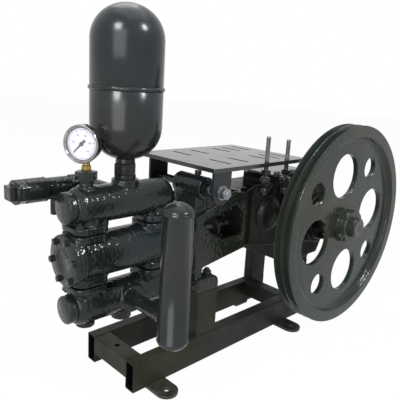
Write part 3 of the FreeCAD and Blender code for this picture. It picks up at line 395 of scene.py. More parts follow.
def finished(name, mesh, finish, body="base", replaced=()):
    """The object of a shaded mesh: it gets its finish's material, rides on its body and hides the CAD nodes
    that it replaces.
    """
    material, slot = finish
    mesh.materials.clear()
    mesh.materials.append(material_of(material))
    mesh.name = name
    made = placed(name, mesh)
    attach(made, body)
    if replaced:
        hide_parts(*replaced)


def piece(name, form, finish, replaced=(), body="base", sharp=35.0):
    """The finished object of a bmesh, or of a list of them, smooth but for its sharp edges."""
    bm = joined(form) if isinstance(form, list) else form
    finished(name, smooth(mesh_of(name, bm), sharp), finish, body, replaced)


def merged(*nodes):
    """A bmesh of CAD nodes' meshes with their loose triangles joined."""
    bm = bmesh.new()
    for node in nodes:
        bm.from_mesh(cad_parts[node].data)
    bmesh.ops.remove_doubles(bm, verts=bm.verts, dist=1e-6)
    bmesh.ops.dissolve_limit(bm, angle_limit=math.radians(0.5), verts=bm.verts, edges=bm.edges)
    return bm


def bevelled(bm, edges, width, segments=2):
    """Round edges of a bmesh in place, by a width in metres."""
    bmesh.ops.bevel(bm, geom=list(edges), offset=width, offset_type="OFFSET", affect="EDGES",
                    segments=segments, profile=0.5, material=-1, clamp_overlap=True)


def crisp_edges(bm, angle=30.0):
    """Edges where two faces meet at more than an angle."""
    limit = math.radians(angle)
    return [e for e in bm.edges if len(e.link_faces) == 2 and e.calc_face_angle(0.0) > limit]


def evened(mesh, sharp=38.0):
    """The same mesh with normals that follow its large faces, so flat faces shade flat."""
    holder = placed("holder", smooth(mesh, sharp))
    holder.modifiers.new("weights", "WEIGHTED_NORMAL").keep_sharp = True
    return settled(holder)


def flat_piece(node, bm, finish, body="base"):
    """A CAD node's piece whose flat faces shade flat right up to their rounded edges."""
    finished(node + "_dressed", evened(mesh_of("dressed", bm)), finish, body, (node,))


def dressed(node, finish, width, body="base", segments=2):
    """A CAD node's own shape with its sharp edges rounded."""
    bm = merged(node)
    bevelled(bm, crisp_edges(bm), width, segments)
    flat_piece(node, bm, finish, body)


def casting(name, nodes, finish, rounds, cell=None):
    """A casting: the nodes' shape with blended corners and a slightly lumpy skin."""
    made = placed(name + "_rough", mesh_of(name + "_rough", merged(*nodes)))
    skin = made.modifiers.new("skin", "REMESH")
    skin.mode = "VOXEL"
    skin.voxel_size = cell or sizes().casting_cell
    soften = made.modifiers.new("soften", "SMOOTH")
    soften.factor = 0.5
    soften.iterations = rounds
    sand = bpy.data.textures.new(name + "_sand", "CLOUDS")
    sand.noise_scale = 0.006
    sand.noise_depth = 3
    lumps = made.modifiers.new("lumps", "DISPLACE")
    lumps.texture = sand
    lumps.texture_coords = "LOCAL"
    lumps.mid_level = 0.5
    lumps.strength = sizes().casting_grain
    finished(name, smooth(settled(made), 180.0), finish, "base", nodes)


def stood(base, axis):
    """The frame at a point with its Z along an axis."""
    return Matrix.Translation(base) @ Z_AXIS.rotation_difference(Vector(axis)).to_matrix().to_4x4()


def spun(profile, base, axis, steps=48, closed=False):
    """A bmesh turned about an axis from a point, from (radius, height) pairs in millimetres."""
    bm = bmesh.new()
    verts = [bm.verts.new((r * MM, 0, h * MM)) for r, h in profile]
    pairs = list(zip(verts, verts[1:]))
    if closed:
        pairs.append((verts[-1], verts[0]))
    edges = [bm.edges.new(pair) for pair in pairs]
    bmesh.ops.spin(bm, geom=verts + edges, cent=(0, 0, 0), axis=(0, 0, 1), angle=2 * math.pi,
                   steps=steps, use_merge=True)
    bmesh.ops.remove_doubles(bm, verts=bm.verts, dist=1e-6)
    bmesh.ops.recalc_face_normals(bm, faces=bm.faces)
    bmesh.ops.transform(bm, matrix=stood(base, axis), verts=bm.verts)
    return bm


def upright(profile, x, y, steps, closed=False):
    """A turned piece about a vertical axis, with its heights from the floor."""
    return spun(profile, place(x, y, 0), Z_AXIS, steps, closed)


def slab(length, width, height, frame):
    """A box about its own centre, in metres, set in a frame."""
    bm = bmesh.new()
    bmesh.ops.create_cube(bm, size=1.0, matrix=frame @ Matrix.Diagonal((length, width, height, 1)))
    return bm


def arc(centre, radius, start, end, steps):
    """(radius, height) points along an arc of a profile, with its angles in degrees."""
    angles = [math.radians(start + (end - start) * i / steps) for i in range(steps + 1)]
    return [(centre[0] + radius * math.cos(a), centre[1] + radius * math.sin(a)) for a in angles]


def dome(radius, knuckle, crown, steps):
    """(radius, height) points of a dished end above its rim, the last at its full height."""
    run = radius - knuckle
    height = crown - math.sqrt((crown - knuckle) ** 2 - run ** 2)
    slope = math.degrees(math.atan2(crown - height, run))
    points = arc((run, 0), knuckle, 0, slope, steps[0])
    points += arc((0, height - crown), crown, slope, 90, steps[1])[1:]
    points[-1] = (0, height)
    return points


def joined(parts):
    """One bmesh from several, which are freed."""
    whole = bmesh.new()
    for part in parts:
        mesh = mesh_of("part", part)
        whole.from_mesh(mesh)
        bpy.data.meshes.remove(mesh)
    return whole


def hexagon(width, height, base, axis, turn=0.0):
    """A hexagon bar with chamfered ends: widths in metres, standing on a point along an axis."""
    bm = bmesh.new()
    radius = width / math.sqrt(3)
    lift = Matrix.Translation((0, 0, height / 2)) @ Matrix.Rotation(turn, 4, "Z")
    bmesh.ops.create_cone(bm, cap_ends=True, segments=6, radius1=radius, radius2=radius, depth=height,
                          matrix=lift)
    ends = [e for e in bm.edges if abs(e.verts[0].co.z - e.verts[1].co.z) < height / 2]
    bevelled(bm, ends, width * 0.06, 2)
    sides = [e for e in crisp_edges(bm, 40) if abs(e.verts[0].co.z - e.verts[1].co.z) > height / 2]
    bevelled(bm, sides, width * 0.02, 1)
    bmesh.ops.transform(bm, matrix=stood(base, axis), verts=bm.verts)
    return bm


def threaded(radius, length, base, axis, pitch):
    """A threaded rod with a chamfered tip: lengths in metres, from a point along an axis."""
    crest, root = radius / MM, (radius - 0.6 * pitch) / MM
    turns = int(length / pitch)
    step = pitch / MM
    profile = [(0, 0), (root, 0)]
    for i in range(turns):
        profile += [(crest, (i + 0.5) * step), (root, (i + 1) * step)]
    tip = length / MM
    profile += [(root, tip - 0.2), (root - 0.8, tip), (0, tip)]
    return spun(profile, base, axis, 20)


def stud_tip(radius, proud, base, axis):
    """The short end of a stud or bolt that stands out of its nut."""
    r, h = radius / MM, proud / MM
    return spun([(0, 0), (r, 0), (r, h - 1.0), (r - 1.0, h), (0, h)], base, axis, 16)


def washer(radius, thickness, base, axis):
    """A disc with eased edges, standing on a face: lengths in metres."""
    r, t = radius / MM, thickness / MM
    return spun([(0, 0), (r - 0.2, 0), (r, 0.2), (r, t - 0.2), (r - 0.2, t), (0, t)], base, axis, 28)


def nut_on_stud(base, axis, turn=0.0, scale=1.0):
    """A nut with the end of its stud, standing on a face."""
    s = sizes()
    nut = hexagon(s.nut_width * scale, s.nut_height * scale, base, axis, turn)
    top = base + axis * (s.nut_height * scale - 0.0002)
    return joined([nut, stud_tip(s.stud_radius * scale, s.stud_proud * scale, top, axis)])


def bolt_head(base, axis, turn=0.0, scale=1.0):
    """A hexagon head on a thin washer."""
    s = sizes()
    under = washer(s.nut_width * 0.62 * scale, 0.0012, base, axis)
    head = hexagon(s.nut_width * scale, s.nut_height * 0.85 * scale, base + axis * 0.0011, axis, turn)
    return joined([under, head])


def weld(start, end, radius, seed):
    """A rippled fillet weld between two points in millimetres."""
    a, b = place(*start), place(*end)
    run = (b - a).length / MM
    count = max(6, int(run / 1.3))
    profile = [(0, 0)]
    for i in range(count + 1):
        along = i / count
        swell = 1.0 + 0.10 * math.sin(i * 2.1 + seed) + 0.05 * math.sin(i * 0.7 + 2 * seed)
        end_round = min(1.0, 3.0 * min(along, 1 - along) + 0.45)
        profile.append((radius * swell * end_round, run * along))
    profile.append((0, run))
    return spun(profile, a, b - a, 12)


def round_shaft(radius, degrees, y):
    """A point on a circle about the crankshaft."""
    a = math.radians(degrees)
    return place(CRANK_X + radius * math.cos(a), y, PUMP_Z + radius * math.sin(a))


def round_bore(radius, degrees, x):
    """A point on a circle about the cylinder's axis."""
    a = math.radians(degrees)
    return place(x, radius * math.cos(a), PUMP_Z + radius * math.sin(a))


def six_round(make, spot, radius, start, level, axis, twist, scale=1.0):
    """Six fasteners on a circle, each turned a little further than the one before it."""
    return [make(spot(radius, start + 60 * k, level), axis, twist * k, scale) for k in range(6)]


def on_pin(y):
    """A point on the axis of the motor plate's pivot bolt."""
    return place(PIN_X, y, PIN_Z)


# Operators, one for each group of pieces


class PUMP_OT_materials(bpy.types.Operator):
    """Make the pump's finishes"""

    bl_idname = "pump.materials"
    bl_label = "Finishes"

    def execute(self, context):
        colours = context.scene.pump_colours
        for name, (tint, *values) in ENAMELS.items():
            enamel(name, getattr(colours, tint), *values)
        bare_metal("zinc", colours.zinc, 0.36, (1.0, 1.0, 0.1))
        bare_metal("brass", colours.brass, 0.30, (1.0, 1.0, 0.1))
        bare_metal("gauge_steel", colours.steel, 0.18, (0.1, 0.1, 1.0))
        bare_metal("ground_steel", (0.56, 0.55, 0.53), 0.28, (0.1, 1.0, 1.0))
        rubber_material("rubber", colours.rubber)
        printed("dial_face", colours.dial, 0.5)
        printed("dial_print", (0.012, 0.012, 0.014), 0.45)
        glass_material("gauge_glass")
        return {"FINISHED"}


class PUMP_OT_skid(bpy.types.Operator):
    """Dress the skid's tubes, posts and lugs, and lay their welds"""

    bl_idname = "pump.skid"
    bl_label = "Skid"

    def execute(self, context):
        for axis, nodes in enumerate((("rail_near", "rail_far"), ("cross_member_front", "cross_member_rear"),
                                      ("front_posts", "rear_posts"))):
            for node in nodes:
                self.tube(node, axis)
        for end, side in product(("front", "rear"), ("near", "far")):
            dressed(f"foot_{end}_{side}", LUG, sizes().edge_round)
        self.welds()
        return {"FINISHED"}

    def tube(self, node, axis):
        """A tube with round long corners and plainer sawn ends, and painted shade inside a rail's bore."""
        bm = merged(node)
        low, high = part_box(node)
        across = [i for i in range(3) if i != axis]
        middle = (low + high) / 2
        corners = []
        for e in crisp_edges(bm, 60):
            a, b = (v.co for v in e.verts)
            outer = all(min(abs(a[i] - low[i]), abs(a[i] - high[i])) < 1e-5 for i in across)
            paired = axis == 2 and abs(a[0] - middle[0]) > (high - low)[0] * 0.49
            if abs(a[axis] - b[axis]) > 0.03 and (outer or paired):
                corners.append(e)
        bevelled(bm, corners, TUBE_CORNER, 3)
        bevelled(bm, crisp_edges(bm, 60), TUBE_END, 1)
        # Painted shade: a rail's inner faces are marked so that its enamel is painted near black where the
        # bore lies in shadow
        if axis == 0:
            shade = bm.faces.layers.float.new(PAINTED_SHADE_ATTRIBUTE)
            for face in bm.faces:
                reach = face.calc_center_median() - middle
                bore = all(abs(reach[i]) < (high - low)[i] / 2 - TUBE_WALL * 0.7 for i in across)
                face[shade] = PAINTED_SHADE_AMOUNT if bore else 0.0
        flat_piece(node, bm, SKID)

    def welds(self):
        """Beads where the cross members, posts and lugs meet the rails."""
        beads = []
        for side in (-1, 1):
            inner, outer = side * RAIL_INNER_Y, side * RAIL_OUTER_Y
            for x0, x1 in MEMBER_XS:
                beads.append(weld((x1, inner, 27), (x1, inner, 62), 2.2, x0 + side))
                beads.append(weld((x0 + 3, inner, 63.2), (x1 - 3, inner, 63.2), 1.8, x1 + side))
            beads.append(weld((450, inner, 27), (450, inner, 62), 2.2, 3 + side))
            for x in FOOT_XS:
                beads.append(weld((x - 20, outer, 6.3), (x + 20, outer, 6.3), 2.4, x))
            for x0, x1 in POST_XS:
                beads.append(weld((x0 + 2, outer, RAIL_TOP), (x1 - 2, outer, RAIL_TOP), 2.0, x1))
                for x, seed in ((x0, x0), (x1, x0 + 5)):
                    start, end = (x, inner + 2 * side, RAIL_TOP), (x, outer - 2 * side, RAIL_TOP)
                    beads.append(weld(start, end, 2.0, seed))
        piece("skid_welds", beads, SKID, sharp=70)


class PUMP_OT_castings(bpy.types.Operator):
    """Blend and roughen the cast bodies"""

    bl_idname = "pump.castings"
    bl_label = "Castings"

    def execute(self, context):
        for name, nodes, finish, rounds, cell in (
                ("cylinder_casting", ("cylinder",), IRON, 5, None),
                ("discharge_manifold_casting", ("discharge_manifold",), IRON, 5, None),
                ("suction_manifold_casting", ("suction_manifold",), IRON, 5, None),
                ("cradle_casting", ("cradle",), IRON, 4, None),
                ("crankcase_casting", ("crankcase", "guide_cover"), CASE, 3, 0.0022),
                ("relief_body_casting", ("relief_body",), IRON, 4, 0.0012),
                ("suction_drain_bosses", ("suction_bottom_plugs",), IRON, 3, 0.0014)):
            casting(name, nodes, finish, rounds, cell)
        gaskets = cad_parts["valve_gaskets"]
        gaskets.data.materials.clear()
        gaskets.data.materials.append(material_of("rubber"))
        return {"FINISHED"}


class PUMP_OT_fluid_end(bpy.types.Operator):
    """Dress the cylinder's cover and the manifolds' plugs, and bolt up the fluid end"""

    bl_idname = "pump.fluid_end"
    bl_label = "Fluid end"

    def execute(self, context):
        self.cover()
        for node, z, radius in (("discharge_end_plug", DISCHARGE_Z, 27.0),
                                ("suction_end_plug", SUCTION_Z, 24.8)):
            self.plug(node, z, radius)
        self.flange_fasteners()
        self.cradle_bolts()
        return {"FINISHED"}

    def cover(self):
        """A turned cover with a rim, a shallow dished middle and six bolts."""
        profile = [(0, 7.0), (21, 7.0), (22, 7.6), (22.6, 8.4), (24, 8.5), (43.2, 8.5), (44.4, 8.0),
                   (45, 6.8), (45, 0.6), (44.4, 0), (0, 0)]
        bm = spun(profile, place(-86.5, 0, PUMP_Z), -X_AXIS, sizes().turn_steps)
        piece("cylinder_cover_turned", bm, IRON, ("cylinder_cover",))
        heads = six_round(bolt_head, round_bore, COVER_BOLT_CIRCLE, 50, COVER_FACE_X, -X_AXIS, 0.4, 0.8)
        piece("cover_bolts", heads, IRON)

    def plug(self, node, z, radius):
        """A round end plug with a flat face and a worn rim."""
        profile = [(0, 15.0), (radius - 2.4, 15.0), (radius - 0.9, 14.3), (radius, 12.8), (radius, 1.6),
                   (radius - 1.2, 0.9), (radius - 1.2, 0), (0, 0)]
        bm = spun(profile, place(-80, 0, z), -X_AXIS, 72)
        piece(node + "_turned", bm, IRON, (node,))

    def flange_fasteners(self):
        """Studs with nuts above and below each of the four valve flange joints."""
        nuts = []
        half = GASKET_THICKNESS / 2 + FLANGE_THICKNESS
        for sign, valve, dx, dy in product((-1, 1), VALVE_XS, (-1, 1), (-1, 1)):
            joint = PUMP_Z + sign * JOINT_RISE
            x, y = valve + dx * STUD_REACH, dy * STUD_REACH
            turn = 0.5 * dx + 0.3 * dy + 0.2 * sign
            nuts.append(nut_on_stud(place(x, y, joint + half - 0.6), Z_AXIS, turn))
            nuts.append(nut_on_stud(place(x, y, joint - half + 0.6), -Z_AXIS, turn + 0.6))
        piece("flange_nuts", nuts, IRON)

    def cradle_bolts(self):
        """Bolts round the joint between cylinder and cradle, and down through its feet."""
        bolts = []
        for side in (-1, 1):
            foot = place(FOOT_BOLT_X, side * POST_Y, CRADLE_FOOT_TOP - 0.4)
            bolts.append(washer(0.0115, 0.0024, foot, Z_AXIS))
            bolts.append(nut_on_stud(foot + Z_AXIS * 0.0022, Z_AXIS, 0.4, scale=1.3))
        flange_x = CRADLE_JOINT_X - 7.4
        bolts += six_round(nut_on_stud, round_bore, CRADLE_BOLT_CIRCLE, 30, flange_x, -X_AXIS, 0.3)
        piece("cradle_flange_bolts", bolts, IRON)


class PUMP_OT_air_vessel(bpy.types.Operator):
    """Turn the air vessel, its weld and its union"""

    bl_idname = "pump.air_vessel"
    bl_label = "Air vessel"

    def execute(self, context):
        radius, low, high, seam = 62.4, 422.0, 681.0, 547.0
        end = dome(radius, 58.0, 66.0, (14, 18))
        height = end[-1][1]
        upper = [(0, seam + 1), (radius - 0.6, seam + 1), (radius, seam + 1.6)]
        upper += [(r, high - height + h) for r, h in end]
        lower = [(0, seam - 6), (radius - 0.6, seam - 6), (radius, seam - 6.6)]
        lower += [(r, low + height - h) for r, h in end]
        for name, profile, node in (("air_vessel_top", upper, "air_vessel_upper"),
                                    ("air_vessel_bottom", lower, "air_vessel_lower")):
            piece(name, upright(profile, VESSEL_X, 0, sizes().turn_steps), TANK, (node,), sharp=60)
        self.seam_weld(radius, seam - 2.5)
        self.union()
        return {"FINISHED"}

    def seam_weld(self, radius, height):
        """The bead round the vessel, with the ripple of its passes."""
        section = arc((radius - 2.2, height), 4.4, -70, 70, 8)
        profile = [(radius - 4, height - 5), *section, (radius - 4, height + 5)]
        bm = upright(profile, VESSEL_X, 0, 240, True)
        centre = place(VESSEL_X, 0, 0)
        for v in bm.verts:
            out = Vector((v.co.x - centre.x, v.co.y - centre.y, 0))
            if out.length > radius * MM:
                a = math.atan2(out.y, out.x)
                ripple = 0.00022 * math.sin(110 * a) + 0.00018 * math.sin(17 * a)
                ripple += 0.0001 * math.sin(41 * a + 1)
                v.co += out.normalized() * ripple
                v.co.z += 0.0005 * math.sin(9 * a + 0.5)
        piece("air_vessel_weld", bm, TANK, sharp=60)

    def union(self):
        """The threaded socket, the union nut and the collar below it."""
        socket = [(0, 430), (16.4, 430), (17, 424), (17, 417.6), (16.4, 417), (0, 417)]
        collar = [(0, 389), (18.2, 389), (19, 389.8), (19, 396.4), (18.4, 397), (17.4, 397.6), (0, 398)]
        nut = hexagon(0.036, 0.020, place(VESSEL_X, 0, 397), Z_AXIS, 0.35)
        union = [nut, upright(collar, VESSEL_X, 0, 48)]
        piece("air_vessel_union", union, IRON, ("air_vessel_neck",))
        piece("air_vessel_socket", upright(socket, VESSEL_X, 0, 48), TANK)


class PUMP_OT_gauge(bpy.types.Operator):
    """Make the pressure gauge with its stem and bush"""

    bl_idname = "pump.gauge"
    bl_label = "Pressure gauge"

    def execute(self, context):
        self.out = Vector((-math.sin(GAUGE_TURN), -math.cos(GAUGE_TURN), 0))
        self.side = Z_AXIS.cross(self.out).normalized()
        self.case()
        self.dial()
        self.pointer()
        self.stem()
        return {"FINISHED"}

    def spot(self, right, up, depth):
        """A point in millimetres to the reader's right, up, and out from the bezel's front."""
        reach = self.side * right + Z_AXIS * up + self.out * (GAUGE_FRONT + depth)
        return place(GAUGE_X, 0, GAUGE_Z) + reach * MM

    def turned(self, profile, steps=72, closed=False):
        """A piece turned about the dial's axis, with its heights from the bezel's front."""
        return spun(profile, self.spot(0, 0, 0), self.out, steps, closed)

    def frame(self, depth, turn=0.0):
        """A frame on the dial: X to the reader's right, or turned from it, and Z out of the face."""
        axes = Matrix((self.side, Z_AXIS, self.out)).transposed().to_4x4()
        return Matrix.Translation(self.spot(0, 0, depth)) @ axes @ Matrix.Rotation(turn, 4, "Z")

    def bearing(self, value):
        """The angle of a reading from 0 to 100 on the scale."""
        return math.radians(225 - 2.7 * value)

    def case(self):
        """The polished case: rolled back edge, waist and a round bezel lip."""
        profile = [(0, -22), (25, -22), (27.5, -21.4), (29.2, -19.6), (29.5, -18), (29.5, -10.4),
                   (30.6, -9.6), (31.3, -8.6), (31.5, -7), (31.5, -2.4), (31.1, -0.8), (30.3, 0),
                   (29.5, -0.1), (28.6, -1.2), (28.0, -2.6), (27.5, -5.4), (27.5, -6.5), (0, -6.5)]
        piece("gauge_case_turned", self.turned(profile, 96), STEEL, ("gauge_case",), sharp=40)
        plug = spun([(0, 0), (6, 0), (6, 1.2), (4.5, 2.4), (0, 2.4)], self.spot(0, 28.5, -16), Z_AXIS, 24)
        piece("gauge_vent_plug", plug, RUBBER)
        glass = [(0, -2.2), (28.2, -2.2), (28.2, -1.6), (20, -1.1), (0, -0.8)]
        piece("gauge_lens", self.turned(glass), ("gauge_glass", "gauge_steel"))

    def dial(self):
        """The white face with its scale: long marks with plain numbers, short ones between, and a black ring
        of painted shade round its edge.
        """
        face = [(0, -6.2), (27.2, -6.2), (27.2, -5.5), (0, -5.5)]
        piece("gauge_dial_face", self.turned(face), ("dial_face", "dial_white"), ("gauge_dial",))
        # Painted shade: a black ring at the dial's edge stands for the shadow that the bezel casts on the
        # face
        painted_shadow_ring = [(25.4, -5.4), (27.6, -3.6), (27.8, -5.4)]
        piece("gauge_painted_shadow_ring", self.turned(painted_shadow_ring, closed=True), PRINT)
        marks = []
        for i in range(51):
            inner, wide = (19.0, 0.9) if i % 10 == 0 else (20.4, 0.55) if i % 5 == 0 else (21.4, 0.32)
            middle = Matrix.Translation(((SCALE_RADIUS + inner) / 2 * MM, 0, 0))
            length = (SCALE_RADIUS - inner) * MM
            marks.append(slab(length, wide * MM, 0.00015, self.frame(-5.48, self.bearing(2 * i)) @ middle))
        ring = [(23.4, -5.55), (23.9, -5.55), (23.9, -5.4), (23.4, -5.4)]
        marks.append(self.turned(ring, closed=True))
        piece("gauge_scale", marks, PRINT)
        for value in range(0, 101, 20):
            self.number(value)

    def number(self, value):
        """The digits of a reading, on their own circle."""
        curve = bpy.data.curves.new("digits", "FONT")
        curve.body = str(value)
        curve.size = DIGIT_HEIGHT * MM
        curve.align_x = "CENTER"
        curve.align_y = "CENTER"
        curve.extrude = 0.00008
        mesh = settled(placed("digits", curve))
        angle, radius = self.bearing(value), DIGIT_CIRCLE * MM
        shift = Matrix.Translation((radius * math.cos(angle), radius * math.sin(angle), 0))
        mesh.transform(self.frame(-5.45) @ shift)
        finished(f"gauge_number_{value}", smooth(mesh, 30.0), PRINT)

    def pointer(self):
        """A tapered pointer with a counterweight and a round boss, resting at zero."""
        hand = slab(0.030, 0.0044, 0.0006, Matrix.Translation((0.006, 0, 0)))
        tip = [v for v in hand.verts if v.co.x > 0.015]
        bmesh.ops.scale(hand, vec=(1, 0.25, 1), verts=tip)
        bmesh.ops.transform(hand, matrix=self.frame(-4.4, self.bearing(0)), verts=hand.verts)
        boss = [(0, -5.2), (3.6, -5.2), (3.6, -4.0), (3.0, -3.4), (0, -3.4)]
        piece("gauge_pointer", [hand, self.turned(boss, 24)], PRINT)

    def stem(self):
        """The brass stem and the bush that it screws into."""
        foot = hexagon(0.014, 0.009, place(GAUGE_X, 0, 409), Z_AXIS, 0.2)
        neck = [(0, 417), (6.4, 417.4), (6.9, 418.5), (6.0, 419.5), (6.0, 425.6), (0, 426)]
        stem = [foot, upright(neck, GAUGE_X, 0, 32)]
        piece("gauge_stem_turned", stem, ("brass", "brass"), ("gauge_stem",))
        nut = hexagon(0.033, 0.015, place(GAUGE_X, 0, 394), Z_AXIS, 0.15)
        neck = upright([(0, 385), (12, 385), (12, 394.5), (0, 394.6)], GAUGE_X, 0, 36)
        lip = upright([(0, 408.8), (10.5, 408.8), (10.2, 409.6), (0, 409.8)], GAUGE_X, 0, 36)
        piece("gauge_bush_turned", [nut, neck, lip], IRON, ("gauge_bush",))


class PUMP_OT_relief_valve(bpy.types.Operator):
    """Dress the relief valve"""

    bl_idname = "pump.relief_valve"
    bl_label = "Relief valve"

    def execute(self, context):
        dressed("relief_cap", IRON, 0.0012, segments=3)
        dressed("relief_elbow", IRON, 0.0010)
        ring = spun([(19.0, 0), (21.6, 0.4), (21.8, 1.4), (21.6, 2.4), (19.0, 2.8)],
                    place(-88, 80, 366), X_AXIS, 64, closed=True)
        piece("relief_lock_ring", ring, IRON)
        return {"FINISHED"}


class PUMP_OT_suction(bpy.types.Operator):
    """Turn the suction strainer and its pipe"""

    bl_idname = "pump.suction"
    bl_label = "Suction strainer"

    def execute(self, context):
        radius, skirt, top, bottom = 26.5, 2.0, 360.0, 138.0
        end = dome(radius, 6.0, 32.0, (8, 10))
        rim = [(radius - 0.4, 3.4), (radius + 1.2, 2.4), (radius + 1.5, 0.0), (radius + 0.3, -1.4)]
        profile = [(r, bottom - skirt - h) for r, h in reversed(end)]
        profile += [(r, bottom + h) for r, h in reversed(rim)] + [(r, top - h) for r, h in rim]
        profile += [(r, top + skirt + h) for r, h in end]
        piece("strainer_shell", upright(profile, STRAINER_X, STRAINER_Y, 96), TANK,
              ("strainer_tube", "strainer_top", "strainer_bottom"), sharp=60)
        pipe = spun([(10.5, 34), (13.2, 34), (13.5, 35), (13.5, 123), (10.5, 123)],
                    place(STRAINER_X, 0, SUCTION_Z), -Y_AXIS, 48, closed=True)
        piece("suction_pipe_turned", pipe, IRON, ("suction_pipe",), sharp=50)
        collar = weld((STRAINER_X, -120.3, SUCTION_Z), (STRAINER_X, -123.5, SUCTION_Z), 16.4, 1.0)
        piece("suction_pipe_weld", collar, TANK, sharp=60)
        return {"FINISHED"}


class PUMP_OT_rod(bpy.types.Operator):
    """Make the gland, the piston rod and its splash disc"""

    bl_idname = "pump.rod"
    bl_label = "Gland and piston rod"

    def execute(self, context):
        dressed("gland", IRON, 0.0012)
        dressed("piston_rod", ("ground_steel", "bright_steel"), 0.0006, body="rod")
        disc = spun([(11, -4.5), (22, -4.5), (23.6, -3.8), (24, -2.6), (23.2, 0), (24, 2.6), (23.6, 3.8),
                     (22, 4.5), (11, 4.5)], place(256, 0, PUMP_Z), X_AXIS, 64, closed=True)
        piece("splash_disc_moulded", disc, RUBBER, ("splash_disc",), "rod")
        return {"FINISHED"}


class PUMP_OT_crank_end(bpy.types.Operator):
    """Dress the crankcase's lid, covers and caps, and bolt them on"""

    bl_idname = "pump.crank_end"
    bl_label = "Crankcase fittings"

    def execute(self, context):
        dressed("crankcase_lid", ("plate_enamel", "dark_enamel"), 0.0010)
        for side, sign in (("near", -1), ("far", 1)):
            dressed(f"bearing_cover_{side}", CASE, 0.0008)
            face, out = sign * BEARING_FACE_Y, sign * Y_AXIS
            heads = six_round(bolt_head, round_shaft, BEARING_BOLT_CIRCLE, 30, face, out, 0.5)
            piece(f"bearing_cover_bolts_{side}", heads, CASE)
        dressed("grease_cap", ("casting_enamel", "dark_enamel"), 0.0006)
        spots = ((394, -58), (450, -58), (450, 58), (504, -58), (504, 58))
        heads = [bolt_head(place(x, y, LID_TOP), Z_AXIS, 0.3 * x) for x, y in spots]
        piece("lid_bolts", heads, ZINC)
        knob = spun([(0, 0), (5.5, 0), (5.5, 5), (7, 6), (7, 10), (5.5, 12), (0, 12.5)],
                    place(304, -42, 337), Z_AXIS, 24)
        piece("front_breather", knob, CASE)
        return {"FINISHED"}


class PUMP_OT_flywheel(bpy.types.Operator):
    """Turn the flywheel, pierce its web and fit it on its shaft"""

    bl_idname = "pump.flywheel"
    bl_label = "Flywheel"

    def execute(self, context):
        self.wheel()
        dressed("crankshaft", WHEEL, 0.0005, body="wheel")
        screw = hexagon(0.017, 0.011, place(CRANK_X - 33, -175.5, PUMP_Z - 16.2), (-0.9, 0, -0.44), 0.2)
        piece("hub_set_screw", screw, WHEEL, body="wheel")
        ring = spun([(8.0, -1), (8.8, 0.5), (18.6, 0.5), (19.6, -1)],
                    place(CRANK_X, SHAFT_NEAR_Y, PUMP_Z), -Y_AXIS, 64, closed=True)
        piece("shaft_end_ring", ring, ("plate_enamel", "wheel_enamel"), body="wheel")
        return {"FINISHED"}

    def wheel(self):
        """One turned section of hub, web and grooved rim, with its holes and keyway cut out."""
        near, far, web_near, web_far = -176.5, -136.5, -163.5, -151.5
        profile = [(22.5, -185.2), (23.3, -186), (35.5, -186), (37.2, -185.3), (38, -183.5), (38, -167.5),
                   (38.9, -164.8), (41.5, web_near), (190, web_near), (195, -164.1), (198.6, -166.2),
                   (200.2, -169.5), (203.4, -175.2), (204.4, -176.2), (205.6, near), (226.9, near),
                   (228.1, -176.0), (228.5, -174.9)]
        groove = [(228.5, -8.6), (228.1, -8.1), (216.0, -3.9), (215.5, -3.2),
                  (215.5, 3.2), (216.0, 3.9), (228.1, 8.1), (228.5, 8.6)]
        profile += [(r, middle + y) for middle in (-166.0, -147.0) for r, y in groove]
        profile += [(228.5, -138.1), (228.1, -137.0), (226.9, far), (205.6, far), (204.4, -136.8),
                    (200.4, -146.0), (198.6, -148.9), (195, -150.9), (190, web_far), (41.5, web_far),
                    (38.9, -150.2), (38, -147.5), (38, -126.5), (37.2, -124.7), (35.5, -124), (23.3, -124),
                    (22.5, -124.8)]
        turned = spun(profile, place(CRANK_X, 0, PUMP_Z), Y_AXIS, 180, closed=True)
        blank = placed("wheel_blank", mesh_of("wheel_blank", turned))
        cutters = []
        clear, edge, web = 4.0, 1.6, web_far - web_near
        for circle, radius, turn in ((117.0, 50.0, 10.5), (152.0, 24.0, 55.5)):
            wide = radius + edge
            hole = [(0, 0), (wide, 0), (wide, clear), (radius, clear + edge), (radius, clear + web - edge),
                    (wide, clear + web), (wide, web + 2 * clear), (0, web + 2 * clear)]
            for k in range(4):
                at = round_shaft(circle, turn + 90 * k, web_near - clear)
                cutters.append(spun(hole, at, Y_AXIS, 72))
        keyway = Matrix.Translation(place(CRANK_X, -155, PUMP_Z + 12.8))
        cutters.append(slab(0.0122, 0.066, 0.028, keyway))
        tool = placed("wheel_holes", mesh_of("wheel_holes", joined(cutters)))
        pierce = blank.modifiers.new("pierce", "BOOLEAN")
        pierce.operation = "DIFFERENCE"
        pierce.solver = "EXACT"
        pierce.object = tool
        mesh = settled(blank)
        bpy.data.objects.remove(tool)
        finished("flywheel_turned", evened(mesh), WHEEL, "wheel", ("flywheel",))


